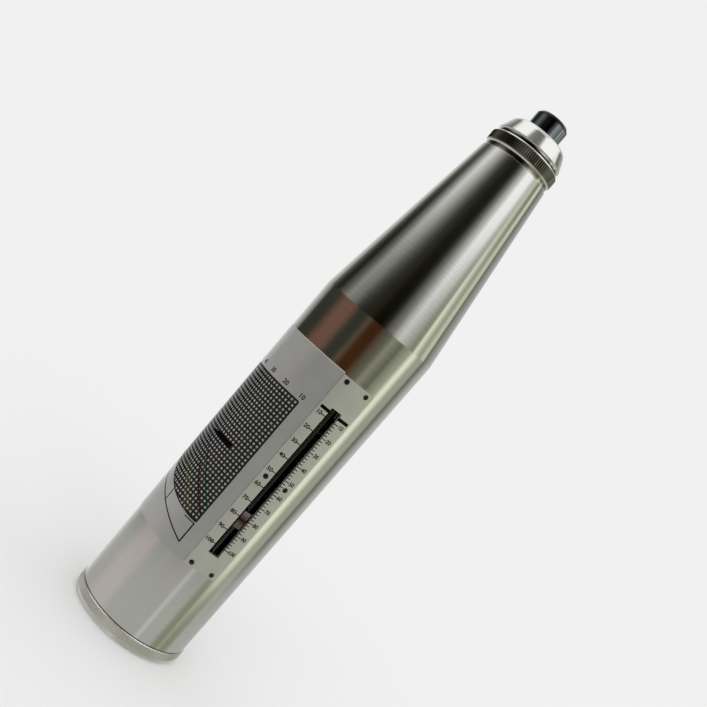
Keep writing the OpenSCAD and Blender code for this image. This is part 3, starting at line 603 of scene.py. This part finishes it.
# The front cap screws on the nose: a dark knurled ring with bright edges, a groove and a polished flank.
# It is turned in one piece, the flank and edges polished like a mirror and the knurl left dark.
nose_front_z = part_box("front_cap")[1].z / mm
front_cap_outline = [
    (13.52, 250.92, 0), (15.4, 250.92, 0.12), (15.9, 251.52, 0.12), (15.9, 256.02, 0.12),
    (15.4, 256.62, 0.12), (14.9, 256.62, 0), (14.9, 257.82, 0), (15.4, 258.32, 0.15),
    (12.3, nose_front_z, 2.49), (7.56, nose_front_z, 0.25), (7.56, 263.16, 0), (10.42, 263.16, 0),
    (10.42, 260.84, 0), (11.52, 260.84, 0), (11.52, 260.02, 0), (12.42, 260.02, 0),
    (12.42, 258.02, 0), (13.52, 258.02, 0),
]
front_cap = placed("front_cap_turned", turned(front_cap_outline))
smooth(front_cap)
# Polished nickel: a clear mirror, with painted shade as a dark band in the groove behind the flank.
polished_cap = turned_metal("polished_nickel", "DADAD9", "E6E6E5", roughness=0.1, ring_pitch=0.4,
                            ring_depth=0.001, blur=0.3, films=[(256.66, 257.3, "3A352D")])
mount(front_cap, polished_cap, "polished_cap", "housing", "front_cap")
# Dark knurled metal: brown and mottled under a film of oil, which shines where it is seen at a slant.
dark_knurl = plain_metal("dark_knurled_metal", "5A564C", "7A766A", roughness=0.2, grain=0.25, depth=0.003)
feed(dark_knurl.node_tree.nodes["Principled BSDF"], Coat_Weight=1)
nose_teeth = knurl_mesh(teeth=102, crest_r=16.25, depth=0.22, low=251.5, high=256.04, metal=dark_knurl)
mount(placed("front_cap_knurl", nose_teeth), dark_knurl, "polished_cap", "housing", "front_cap")


# The rider shows the reading: a moulded block with a red index line that slides on a thin rod in the slot.
# Two small blocks hold the rod's ends, and a bronze leaf under the rider is caught by the hammer mass.
rider_low, rider_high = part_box("rider")
rider_half = rider_high.x / mm
rider_front = -rider_low.y / mm
rider_back = -rider_high.y / mm
rider_step = 27.0
face_half = 1.595
rod_axis = 25.0
rider_profile = [
    (-rider_half, rider_back), (-rider_half, rider_step), (-face_half, rider_step),
    (-face_half, rider_front), (face_half, rider_front), (face_half, rider_step),
    (rider_half, rider_step), (rider_half, rider_back),
]


def extrude(shape, axis, end):
    """Draws a shape's faces out to a place on one axis, 0 to 2 for X to Z, and closes the sides."""
    faces = shape.faces[:]
    border = [edge.verts[:] for edge in shape.edges if edge.is_boundary]
    moved = {}
    for vertex in shape.verts[:]:
        place = vertex.co.copy()
        place[axis] = end
        moved[vertex] = shape.verts.new(place)
    for face in faces:
        shape.faces.new([moved[vertex] for vertex in face.verts])
    for first, second in border:
        shape.faces.new((first, second, moved[second], moved[first]))


rider_shape = bmesh.new()
rider_shape.faces.new([rider_shape.verts.new((x * mm, -y * mm, rider_low.z)) for x, y in rider_profile])
extrude(rider_shape, 2, rider_high.z)
bmesh.ops.recalc_face_normals(rider_shape, faces=rider_shape.faces)
bmesh.ops.bevel(rider_shape, geom=rider_shape.edges[:], offset=0.2 * mm, segments=3, profile=0.5,
                affect="EDGES")
rider = placed("rider_moulded", as_mesh("rider_moulded", rider_shape))
rod_hole = round_cutter(radius=1.06, low=60, high=85, sides=48)
rod_hole.transform(Matrix.Translation((0, -rod_axis * mm, 0)))
cut_away(rider, [placed("rod_cutter", rod_hole)])
smooth(rider, sharp_degrees=40)
# Rider plastic: milky grey with a lilac cast, satin, stained dark red round the index line in a ragged band,
# all painted dark as shade from the slot, and painted near-black on its shoulders as painted shade down in
# the slot.
rider_plastic, tree, shader, place = finish("rider_plastic", Roughness=0.35, IOR=1.5)
parts = parts_of(tree, place)
upward = between(tree, parts["Z"], rider_low.z, rider_high.z)
ragged = add_node(tree, "ShaderNodeMix", {0: 0.12, 2: upward, 3: noise(tree, place, scale=350, detail=4)})
tint = ramp(tree, ragged, [(0.1, "4A4643"), (0.3, "4A403C"), (0.42, "341618"), (0.58, "28060A"),
                           (0.7, "4E383E"), (0.9, "62555B")])
# Painted shade: below its raised face the rider turns near-black.
painted_shoulder_shade = between(tree, parts["Y"], -(rider_step + 0.5) * mm, -(rider_step + 0.1) * mm)
grain = bump(tree, noise(tree, place, scale=4000), depth=0.01, strength=0.6)
feed(shader, Base_Color=mixed(tree, painted_shoulder_shade, tint, "0A0606"), Normal=grain)
mount(rider, rider_plastic, "rider_plastic", "rider", "rider")


def ink(name, code, worn, cover=1):
    """Printing ink: flat colour, a little thin and rubbed in places, under the sheet's clear lacquer.
    A cover below 1 lets what lies under the ink show through."""
    material, tree, shader, place = finish(name, IOR=1.5, Specular_IOR_Level=0, Coat_Weight=1, Coat_IOR=1.15,
                                           Coat_Roughness=0.08, Alpha=cover)
    rubs = noise(tree, place, scale=900, detail=5, roughness=0.7)
    tint = ramp(tree, rubs, [(0.45, code), (0.8, worn)])
    feed(shader, Base_Color=tint, Roughness=between(tree, rubs, 0, 1, 0.2, 0.4))
    return material


index_z = (rider_low.z + rider_high.z) / 2 / mm
index_half = 1.4
line_half = 0.25
index_mesh = block((-index_half, -27.93, index_z - line_half), (index_half, -27.85, index_z + line_half))
index_line = placed("rider_index", index_mesh)
# Red paint: dried almost to black.
red_ink = ink("red_paint", "140406", "280A0E")
mount(index_line, red_ink, "rider_plastic", "rider", "rider")
# The rod is ground too, but painted dark as painted shade inside the slot, so that only one thin line of
# light shows along it.
oiled_steel = plain_metal("oiled_steel", "58585A", "666668", roughness=0.12, grain=0.3, depth=0.0005)
dress_nodes(oiled_steel, "ground_steel", "rider_rod")
dress_nodes(plain_steel, "plain_steel", "rod_blocks")
# Leaf bronze: rolled strip, yellower and smoother than the sleeve.
leaf_bronze = plain_metal("leaf_bronze", "A98550", "BE9A62", roughness=0.25, grain=0.3, depth=0.002)
dress_nodes(leaf_bronze, "spring_bronze", "rider_leaf")


# The scale plate is a thin sheet of pale anodised aluminium, rolled to the barrel and slotted for the rider.
# Its edges are broken by a light bevel.
plate_low_z = 45.0
plate_high_z = 144.1
plate_left = -7.3
plate_right = 8.75
plate_r = 27.52
plate_t = 0.5
slot_half = 2.275
slot_low_z = 54.45
slot_high_z = 130.85
flat_half = 0.0001


def wrapped(flat, base_r, thickness):
    """Rolls a flat mesh, x along the girth and z along the axis, on the barrel; y < 0 is its outer face."""
    for vertex in flat.vertices:
        angle = vertex.co.x / (barrel_r * mm)
        radius = (base_r + (thickness if vertex.co.y < 0 else 0)) * mm
        vertex.co = (radius * math.sin(angle), -radius * math.cos(angle), vertex.co.z)
    return flat


def flat_sheet(edges_x, edges_z, opening=None, step=0.7):
    """Flat two-sided sheet over a grid of cells in millimetres, without the cell named as its opening."""
    cuts = [edges_x[0]]
    cell_of = []
    for cell, (start, end) in enumerate(zip(edges_x, edges_x[1:])):
        parts = math.ceil((end - start) / step)
        for part in range(parts):
            cuts.append(start + (end - start) * (part + 1) / parts)
            cell_of.append(cell)
    shape = bmesh.new()
    grid = [[shape.verts.new((x * mm, flat_half, z * mm)) for z in edges_z] for x in cuts]
    for column, cell in enumerate(cell_of):
        for row in range(len(edges_z) - 1):
            if (cell, row) == opening:
                continue
            shape.faces.new((grid[column][row], grid[column + 1][row],
                             grid[column + 1][row + 1], grid[column][row + 1]))
    bare = [vertex for vertex in shape.verts if not vertex.link_faces]
    bmesh.ops.delete(shape, geom=bare, context="VERTS")
    extrude(shape, 1, -flat_half)
    return as_mesh("sheet", shape)


def soften(item, width):
    """Breaks a piece's sharp edges by a small bevel."""
    bevel = item.modifiers.new("broken edges", "BEVEL")
    bevel.width = width * mm
    bevel.segments = 2
    bevel.limit_method = "ANGLE"
    bevel.angle_limit = math.radians(50)
    applied(item)


def satin_sheet(name, dark, light, metallic, roughness):
    """Sheet or foil: rolled grain along the barrel and light handling clouds, satin under clear lacquer."""
    material, tree, shader, place = finish(name, Metallic=metallic, IOR=1.45, Coat_Weight=1,
                                           Coat_Roughness=0.08)
    streaked = add_node(tree, "ShaderNodeMapping", {"Vector": place, "Scale": (1, 1, 0.06)})
    grain = noise(tree, streaked, scale=3000, detail=3)
    clouds = noise(tree, place, scale=60, detail=6, roughness=0.65)
    tint, sheen = mottled(tree, clouds, dark, light, roughness * 0.85, roughness * 1.15)
    feed(shader, Base_Color=tint, Roughness=sheen, Normal=bump(tree, grain, depth=0.004, strength=0.5))
    return material


plate_flat = flat_sheet([plate_left, -slot_half, slot_half, plate_right],
                        [plate_low_z, slot_low_z, slot_high_z, plate_high_z], opening=(1, 1))
scale_plate = placed("scale_plate_rolled", wrapped(plate_flat, plate_r, plate_t))
soften(scale_plate, width=0.08)
smooth(scale_plate)
# Anodised plate: pale grey with a green cast, half metal and half lacquer.
plate_finish = satin_sheet("anodised_plate", "B2B3A8", "B9BAAF", metallic=0.5, roughness=0.5)
mount(scale_plate, plate_finish, "scale_aluminium", "housing", "scale_plate")


# The scale is printed on the plate in black: a heavy cross line at the zero end, tens on both sides,
# finer marks from a base line on the right, and the numbers 10 to 100 beside them.
lines_tree, inputs = geometry_tree("printed_lines", Cuts="Int", Ink="Material")
# A bar stands at each point, as wide and high as the point's own span says.
bar = add_node(lines_tree, "GeometryNodeMeshCube", {"Size": (1, 1, 1), "Vertices X": inputs["Cuts"]})
size = add_node(lines_tree, "GeometryNodeInputNamedAttribute", {"Name": "span"}, data_type="FLOAT_VECTOR")
bars = add_node(lines_tree, "GeometryNodeInstanceOnPoints",
                {"Points": inputs["Geometry"], "Instance": bar, "Scale": size})
end_tree(lines_tree, bars, inputs["Ink"])


def line_mesh(bars, cuts, material):
    """Flat bars given as (middle x, middle z, width, height) in millimetres."""
    middles = [(x, 0, z) for x, z, width, height in bars]
    spans = [(width * mm, 2 * flat_half, height * mm) for x, z, width, height in bars]
    return grown(lines_tree, start_mesh(middles, span=spans), Cuts=cuts, Ink=material)


def number_mesh(labels):
    """Flat upright numbers given as (text, middle x, middle z, height) in millimetres."""
    shape = bmesh.new()
    for text, x, z, height in labels:
        font = bpy.data.curves.new("number", "FONT")
        font.body = text
        font.size = height * 1.4 * mm
        font.align_x = "CENTER"
        font.align_y = "CENTER"
        font.extrude = flat_half
        font.offset = 0.07 * mm
        font.resolution_u = 3
        item = placed("number", font)
        mesh = plain_mesh(item)
        mesh.transform(Matrix.Translation((x * mm, 0, z * mm)) @ Matrix.Rotation(math.radians(90), 4, "X"))
        shape.from_mesh(mesh)
        bpy.data.objects.remove(item)
        bpy.data.curves.remove(font)
        bpy.data.meshes.remove(mesh)
    bmesh.ops.remove_doubles(shape, verts=shape.verts, dist=1e-7)
    return as_mesh("numbers", shape)


zero_z = 133.9
division = 0.75
mark_t = 0.38
number_h = 1.75
cross_z = 128.9
cross_t = 1.4
scale_bars = [(-4.35, cross_z, 4.1, cross_t), (5.1, cross_z, 5.6, cross_t)]
scale_numbers = []
for reading in range(10, 101, 2):
    z = zero_z - reading * division
    if reading % 10 == 0:
        scale_bars.append((-slot_half - 1.0, z, 1.9, mark_t))
        scale_bars.append((slot_half + 1.25, z, 2.4, mark_t))
        scale_numbers.append((str(reading), -5.3, z, number_h))
        scale_numbers.append((str(reading), 6.2, z, number_h))
    else:
        scale_bars.append((slot_half + 0.9, z, 1.7, mark_t))
scale_bars.append((slot_half + 0.22, (slot_low_z + slot_high_z) / 2, 0.36, slot_high_z - slot_low_z))
print_t = 0.02


def printed(name, flat, material, slot, node, base_r, thickness=print_t):
    """Rolls a flat print on its sheet and fixes it there."""
    mount(placed(name, wrapped(flat, base_r, thickness)), material, slot, "housing", node)


# Black print: deep black, grey where it is rubbed.
black_ink = ink("black_print", "040404", "161616")
on_plate = ("scale_aluminium", "scale_plate", plate_r + plate_t)
printed("scale_lines", line_mesh(scale_bars, cuts=8, material=black_ink), black_ink, *on_plate)
printed("scale_figures", number_mesh(scale_numbers), black_ink, *on_plate)


# Six small slotted screws hold the plate, blackened steel with low domed heads.
# They are one turned shape, set out in two rows of three along the plate's edges.
screw_outline = [
    (0, 25.1, 0), (0.8, 25.1, 0.1), (0.8, 28.04, 0), (1.1, 28.04, 0.05), (1.1, 28.2, 0.1),
    (0.75, 28.4, 0.15), (0, 28.43, 0),
]
screw_shape = turned(screw_outline, closed=False, sides=32)
screw_shape.transform(Matrix.Rotation(math.radians(90), 4, "X"))
screw_item = placed("screw", screw_shape)
cut_away(screw_item, [placed("driver_cutter", block((-2, -28.6, -0.14), (2, -28.24, 0.14)))])
screw_tree, inputs = geometry_tree("set_out_screws", Screw="Object", Metal="Material")
# Each point's turn says how far round the barrel its screw sits and how its driver slot lies.
turn = add_node(screw_tree, "GeometryNodeInputNamedAttribute", {"Name": "turn"}, data_type="FLOAT_VECTOR")
angle = add_node(screw_tree, "FunctionNodeEulerToRotation", {0: turn})
screw = add_node(screw_tree, "GeometryNodeObjectInfo", {"Object": inputs["Screw"]})
screws = add_node(screw_tree, "GeometryNodeInstanceOnPoints",
                  {"Points": inputs["Geometry"], "Instance": screw.outputs["Geometry"],
                           "Rotation": angle})
end_tree(screw_tree, screws, inputs["Metal"])
screw_turns = [(0, number * 1.1, x / barrel_r) for number, (x, z) in enumerate(screw_places)]
screw_start = start_mesh([(0, 0, z) for x, z in screw_places], turn=screw_turns)
screw_mesh = grown(screw_tree, screw_start, Screw=screw_item, Metal=black_steel)
remove(screw_item)
plate_screws = placed("plate_screws_set", screw_mesh)
smooth(plate_screws)
mount(plate_screws, black_steel, "black_steel", "housing", "plate_screws")


# The chart label is a printed foil, glued on the barrel left of the plate.
# It stays blank apart from the chart: the lettering of the real one is left bare.
label_left = -62.3
label_right = -7.32
label_low_z = 45.02
label_high_z = 144.7
label_t = 0.12
label_flat = flat_sheet([label_left, label_right], [label_low_z, label_high_z], step=0.9)
chart_label = placed("chart_label_foil", wrapped(label_flat, plate_r, label_t))
soften(chart_label, width=0.03)
smooth(chart_label)


def azimuth(tree, parts):
    """Angle round the axis from the front, -Y, of a vector's parts."""
    front = add_node(tree, "ShaderNodeMath", {0: parts["Y"], 1: -1}, operation="MULTIPLY")
    return add_node(tree, "ShaderNodeMath", {0: parts["X"], 1: front}, operation="ARCTAN2")


# Printed foil: satin grey, with painted light making it paler towards its far edge, and a painted cream
# highlight along the top.
foil_finish = satin_sheet("printed_foil", "ABACA9", "B2B3B0", metallic=0.6, roughness=0.48)
tree = foil_finish.node_tree
shader = tree.nodes["Principled BSDF"]
parts = parts_of(tree, tree.nodes["Texture Coordinate"].outputs["Object"])
# Painted light: the foil turns paler towards its far edge.
painted_side_light = between(tree, azimuth(tree, parts), -0.7, -1.5)
side_lit_colour = mixed(tree, painted_side_light, shader.inputs["Base Color"].links[0].from_socket, "D3D5D5")
# Painted highlight: a cream line along the foil's top edge.
painted_top_highlight = (label_high_z - 0.4, label_high_z + 0.4, "D8D4C6")
feed(shader, Base_Color=stained(tree, side_lit_colour, parts["Z"], *painted_top_highlight))
mount(chart_label, foil_finish, "label_foil", "housing", "chart_label")


# The chart on the label: a fine grid whose lower left follows an arc, a heavier frame, a band under it,
# three coloured curves through its lower half, the olive one broad and sheer, and a black pointer bar.
grid_right = -13.85
grid_top = 123.95
grid_low = 60.4
grid_pitch = 1.795
grid_columns = 24
grid_left = grid_right - grid_columns * grid_pitch
grid_line = 0.87
arc_r = 54.5
grid_bars = []


def grid_floor(x):
    """Height of the grid's arched lower edge at a place along the girth."""
    return grid_low + arc_r - math.sqrt(arc_r ** 2 - (x - grid_right) ** 2)


for column in range(grid_columns + 1):
    x = grid_right - column * grid_pitch
    low = grid_floor(x)
    grid_bars.append((x, (low + grid_top) / 2, grid_line, grid_top - low))
grid_rows = int((grid_top - grid_low) / grid_pitch)
for row in range(grid_rows + 1):
    z = grid_top - row * grid_pitch
    left = grid_left
    if z < grid_floor(grid_left):
        left = grid_right - math.sqrt(arc_r ** 2 - (grid_low + arc_r - z) ** 2)
    grid_bars.append(((left + grid_right) / 2, z, grid_right - left, grid_line))
grid_bars.append((grid_right + 0.1, (grid_top + grid_low) / 2, 0.5, grid_top - grid_low))
on_foil = ("label_foil", "chart_label", plate_r + label_t)
# The grid's ink is thinner than the other print, so it looks dark grey.
grid_ink = ink("grid_print", "1A1A1A", "30302F")
printed("chart_grid", line_mesh(grid_bars, cuts=48, material=grid_ink), grid_ink, *on_foil)

curve_tree, inputs = geometry_tree("printed_curve", Width="Float", Ink="Material")
path = add_node(curve_tree, "GeometryNodeMeshToCurve", {"Mesh": inputs["Geometry"]})
pen = add_node(curve_tree, "GeometryNodeCurvePrimitiveQuadrilateral",
               {"Width": inputs["Width"], "Height": inputs["Width"]})
drawn = add_node(curve_tree, "GeometryNodeCurveToMesh",
                 {"Curve": path, "Profile Curve": pen, "Fill Caps": True})
end_tree(curve_tree, drawn, inputs["Ink"])


def curve_mesh(points, width, material):
    """Flat printed line through (x, z) points in millimetres."""
    edges = [(number, number + 1) for number in range(len(points) - 1)]
    start = start_mesh([(x, 0, z) for x, z in points], edges)
    return grown(curve_tree, start, Width=width * mm, Ink=material)


def joined(name, meshes):
    """One mesh from several."""
    shape = bmesh.new()
    for mesh in meshes:
        shape.from_mesh(mesh)
        bpy.data.meshes.remove(mesh)
    return as_mesh(name, shape)


along = [grid_right + (grid_left - grid_right) * step / 40 for step in range(41)]
arc_edge = [(x, grid_floor(x)) for x in along]
band_top = [(x, 59.4) for x in along[:6]]
band_low = [(x, 49.9 + 0.38 * (grid_right - x) + 0.0018 * (grid_right - x) ** 2) for x in along[:31]]
band_right = [(grid_right, 49.65), (grid_right, 59.65)]
band_rule = [(-31.7, 57.4), (-31.7, 63.7)]
band_lines = [(arc_edge, 0.55), (band_top, 0.45), (band_low, 0.55), (band_right, 0.6), (band_rule, 0.48)]
band_meshes = [curve_mesh(points, width, black_ink) for points, width in band_lines]
printed("chart_band", joined("chart_band", band_meshes), black_ink, *on_foil)
# Coloured print: teal and red dark over the grid, olive so thin that the grid shows through.
for curve_name, code, worn, cover, first, last, bend, width, height in (
    ("teal", "0C2624", "1E3E3A", 1, (-14.5, 68.4), (-37.7, 91.2), -0.6, 0.6, 0.03),
    ("red", "240A0C", "481C20", 1, (-14.3, 63.9), (-29.7, 78.6), -0.3, 0.6, 0.03),
    ("olive", "A8A23C", "B4AE50", 0.15, (-19.5, 60.9), (-36.5, 78.0), -0.5, 2.4, 0.026),
):
    curve_ink = ink(curve_name + "_print", code, worn, cover)
    curve_points = []
    for number in range(33):
        share = number / 32
        x = first[0] + (last[0] - first[0]) * share
        z = first[1] + (last[1] - first[1]) * share + bend * 4 * share * (1 - share)
        curve_points.append((x, z))
    curve = curve_mesh(curve_points, width, curve_ink)
    printed("chart_curve_" + curve_name, curve, curve_ink, *on_foil, height)
pointer = bmesh.new()
pointer_outline = [(-38.0, 92.0), (-34.1, 91.0), (-23.2, 91.0), (-23.2, 93.7), (-31.5, 93.4)]
pointer.faces.new([pointer.verts.new((x * mm, flat_half, z * mm)) for x, z in pointer_outline])
extrude(pointer, 1, -flat_half)
for cut_x in range(-37, -23):
    everything = pointer.verts[:] + pointer.edges[:] + pointer.faces[:]
    bmesh.ops.bisect_plane(pointer, geom=everything, plane_co=(cut_x * mm, 0, 0), plane_no=(1, 0, 0))
printed("chart_pointer", as_mesh("chart_pointer", pointer), black_ink, *on_foil, thickness=0.04)
chart_numbers = []
for number in range(5):
    chart_numbers.append((str(10 * (number + 1)), grid_right - 0.3 - 9.05 * number, 126.4, 2.0))
printed("chart_figures", number_mesh(chart_numbers), black_ink, *on_foil)


# The lock button on the back: a black moulded cap and stem, in a polished bush pressed into the barrel.
# A spring under the cap pushes it out, and a clip on the stem's inner end holds it.
button_low, button_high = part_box("button")
button_top = button_high.y / mm
stem_low = button_low.y / mm
button_outline = [
    (0, stem_low, 0), (3.0, stem_low, 0.1), (3.0, 21.3, 0), (2.4, 21.3, 0), (2.4, 22.0, 0), (3.0, 22.0, 0.1),
    (3.0, 31.02, 0), (4.4, 31.02, 0), (4.4, 28.82, 0.1), (5.4, 28.82, 0.2), (5.4, button_top - 0.25, 0.6),
    (0, button_top, 0),
]
button_mesh = turned(button_outline, closed=False, sides=96)
button = placed("button_moulded", facing_back(button_mesh, button_z))
smooth(button, sharp_degrees=40)
# Button plastic: black, finely grained, worn a little shiny.
button_plastic, tree, shader, place = finish("button_plastic", IOR=1.5)
wear = noise(tree, place, scale=250, detail=4)
tint = ramp(tree, wear, [(0.3, "1B1C1E"), (0.7, "26272A")])
grain = bump(tree, noise(tree, place, scale=2500), depth=0.03, strength=0.7)
feed(shader, Base_Color=tint, Roughness=between(tree, wear, 0, 1, 0.25, 0.5), Normal=grain)
mount(button, button_plastic, "button_plastic", "button", "button")
dress_nodes(spring_steel, "spring_steel", "button_clip")
dress_nodes(polished_cap, "polished_cap", "button_bush")
coil_low = 28.54
coil_high = 31.0
button_coil = facing_back(coil_mesh(mean_r=3.56, wire=0.5, turns=2, low=coil_low, high=coil_high), button_z)
fix_ends(placed("button_spring_wound", button_coil), "button_spring")


# The stage: a wide pale floor that keeps the hammer's soft shadow and meets the background without an edge.
# The tone of floor and background is the photograph's pale grey.
pale = "F1F1F1"
reach = 40
floor_mesh = bpy.data.meshes.new("floor")
floor_mesh.from_pydata([(-reach, -reach, 0), (reach, -reach, 0), (reach, reach, 0), (-reach, reach, 0)], [],
                       [(0, 1, 2, 3)])
floor_mesh.transform(Matrix.Translation((0, 0, -0.1 * mm)))
floor = placed("floor", floor_mesh)
# Pale paper: matt, so that only the shadow shows on it.
floor_paper = finish("pale_paper", Base_Color=colour(pale), Roughness=1, Specular_IOR_Level=0)[0]
floor_mesh.materials.append(floor_paper)
floor.visible_glossy = False


# Studio light: soft light all round, and for the polished metal a room to mirror, with pale walls behind
# the hammer, a dark wall in front, a narrow window on the right, a grey floor and wide lights above.
# Each height of the room has its tones at angles in degrees to the right of the camera's own side.
camera_side = 19.93
tones = {
    "lamp": "FCFCFA", "window": "EAECD6", "pale": "E6E6E4", "cream": "C6CAB2", "light": "C4C4C0",
    "rose": "BAB4B0", "mild": "AAAAA4", "sage": "9EA28E", "grey": "868682", "olive": "868874",
    "ash": "70706A", "fern": "70725E", "moss": "606250", "dim": "5C5B55", "dark": "34342D",
    "deep": "1D1E15", "black": "070702", "rust": "6C5042", "taupe": "564A3C", "brown": "3E2410",
}
floor_left = {
    -180: "pale", -152: "light", -130: "mild", -104: "mild", -82: "rose", -56: "rose", -40: "mild",
    28: "mild", 34: "light", 40: "mild", 60: "mild",
}
floor_right = {
    71: "olive", 79: "olive", 83: "sage", 88: "olive", 98: "olive", 108: "mild", 150: "mild", 180: "light",
}
# Just above the floor only the right side differs, where the window's light falls.
sill_right = {
    72: "olive", 76: "olive", 83: "cream", 89: "cream", 98: "sage", 108: "mild", 150: "mild", 180: "light",
}
low_room = {
    -180: "pale", -154: "light", -142: "mild", -132: "grey", -122: "dark", -94: "dark", -74: "rust",
    -54: "rust", -40: "dark", -26: "dark", -18: "taupe", -9: "brown", 6: "brown", 16: "taupe", 28: "moss",
    36: "olive", 46: "fern", 54: "moss", 62: "olive", 76: "sage", 84: "window", 88: "window", 98: "sage",
    112: "sage", 116: "grey", 120: "moss", 126: "grey", 140: "mild", 180: "light",
}
middle_room = {
    -180: "pale", -154: "light", -142: "mild", -131: "dim", -120: "dark", -110: "deep", -104: "dark",
    -91: "dim", -78: "grey", -62: "ash", -48: "dark", -38: "deep", -20: "deep", -10: "black", 3: "black",
    10: "deep", 20: "dim", 28: "ash", 35: "mild", 44: "light", 56: "mild", 72: "olive", 79: "olive",
    84: "window", 90: "cream", 96: "sage", 102: "sage", 109: "cream", 114: "cream", 120: "moss",
    126: "grey", 180: "light",
}
high_room = {
    -180: "pale", -152: "light", -132: "grey", -115: "dim", -104: "grey", -90: "light", -80: "pale",
    -67: "light", -58: "mild", -49: "grey", -39: "dim", -28: "dark", -10: "deep", 3: "deep", 10: "dark",
    20: "ash", 28: "mild", 35: "light", 44: "lamp", 63: "lamp", 74: "light", 83: "cream", 90: "sage",
    96: "moss", 101: "olive", 108: "window", 113: "cream", 121: "moss", 128: "ash", 150: "mild",
    180: "light",
}
ceiling = {
    -180: "pale", -110: "lamp", -54: "lamp", -38: "grey", -12: "ash", 4: "ash", 18: "grey", 34: "lamp",
    110: "lamp", 180: "pale",
}
overhead = {-180: "light", 180: "light"}
world = bpy.data.worlds.new("soft_studio")
bpy.context.scene.world = world
world.use_nodes = True
world.cycles.sampling_method = "NONE"
sky = world.node_tree
sky.nodes.clear()
sky_way = add_node(sky, "ShaderNodeTexCoord").outputs["Generated"]
sky_turn = add_node(sky, "ShaderNodeVectorRotate", {"Vector": sky_way, "Angle": math.radians(camera_side)},
                    rotation_type="Z_AXIS")
sky_parts = parts_of(sky, sky_turn)
sky_share = between(sky, azimuth(sky, sky_parts), -math.pi, math.pi)
room_light = None
# Each room takes over from the one below between two elevations in degrees.
for room, start, end in (
    (floor_left | floor_right, None, None),
    (floor_left | sill_right, -20.2, -16),
    (low_room, -19.2, -12.8),
    (middle_room, 2, 8),
    (high_room, 14.5, 26.5),
    (ceiling, 38, 48),
    (overhead, 72, 80),
):
    walls = ramp(sky, sky_share, [((angle + 180) / 360, tones[tone]) for angle, tone in room.items()])
    if room_light is None:
        room_light = walls
        continue
    climb = between(sky, sky_parts["Z"], math.sin(math.radians(start)), math.sin(math.radians(end)),
                    interpolation_type="SMOOTHSTEP")
    room_light = add_node(sky, "ShaderNodeMixRGB", {0: climb, 1: room_light, 2: walls})
ray = add_node(sky, "ShaderNodeLightPath").outputs
even_light = add_node(sky, "ShaderNodeBackground", {"Color": (1, 1, 1, 1), "Strength": 0.86})
mirror_light = add_node(sky, "ShaderNodeBackground", {"Color": room_light, "Strength": 1.2})
seen_light = add_node(sky, "ShaderNodeBackground", {"Color": colour(pale), "Strength": 1})
with_mirror = add_node(sky, "ShaderNodeMixShader",
                       {0: ray["Is Glossy Ray"], 1: even_light, 2: mirror_light})
with_seen = add_node(sky, "ShaderNodeMixShader",
                     {0: ray["Is Camera Ray"], 1: with_mirror, 2: seen_light})
add_node(sky, "ShaderNodeOutputWorld", {"Surface": with_seen})


def aim(item, way, roll=0):
    """Points a lamp or a camera along a way, turned by a roll in degrees."""
    item.rotation_mode = "QUATERNION"
    turn = Matrix.Rotation(math.radians(roll), 3, "Z").to_quaternion()
    item.rotation_quaternion = Vector(way).to_track_quat("-Z", "Y") @ turn


lamp = bpy.data.lights.new("soft_lamp", "SUN")
lamp.energy = 0.62
lamp.angle = math.radians(60)
lamp_item = placed("soft_lamp", lamp)
lamp_item.visible_glossy = False
aim(lamp_item, (0.33, 0.94, -1.0))


# The camera stands a little left of the slot, 0.4 m away, and is rolled so that the nose points up right.
# Its shift brings the hammer to the photograph's place in the picture.
camera = bpy.data.cameras.new("camera")
camera.lens = 47.98
camera.shift_x = 0.1
camera.shift_y = 0.1
camera.clip_end = 200
camera_item = placed("camera", camera)
camera_item.location = Vector((-134.387, -370.653, 161.52)) * mm
aim(camera_item, (0.32973, 0.93503, -0.13037), roll=40.612)
bpy.context.scene.camera = camera_item
bpy.context.scene.view_settings.view_transform = "Standard"
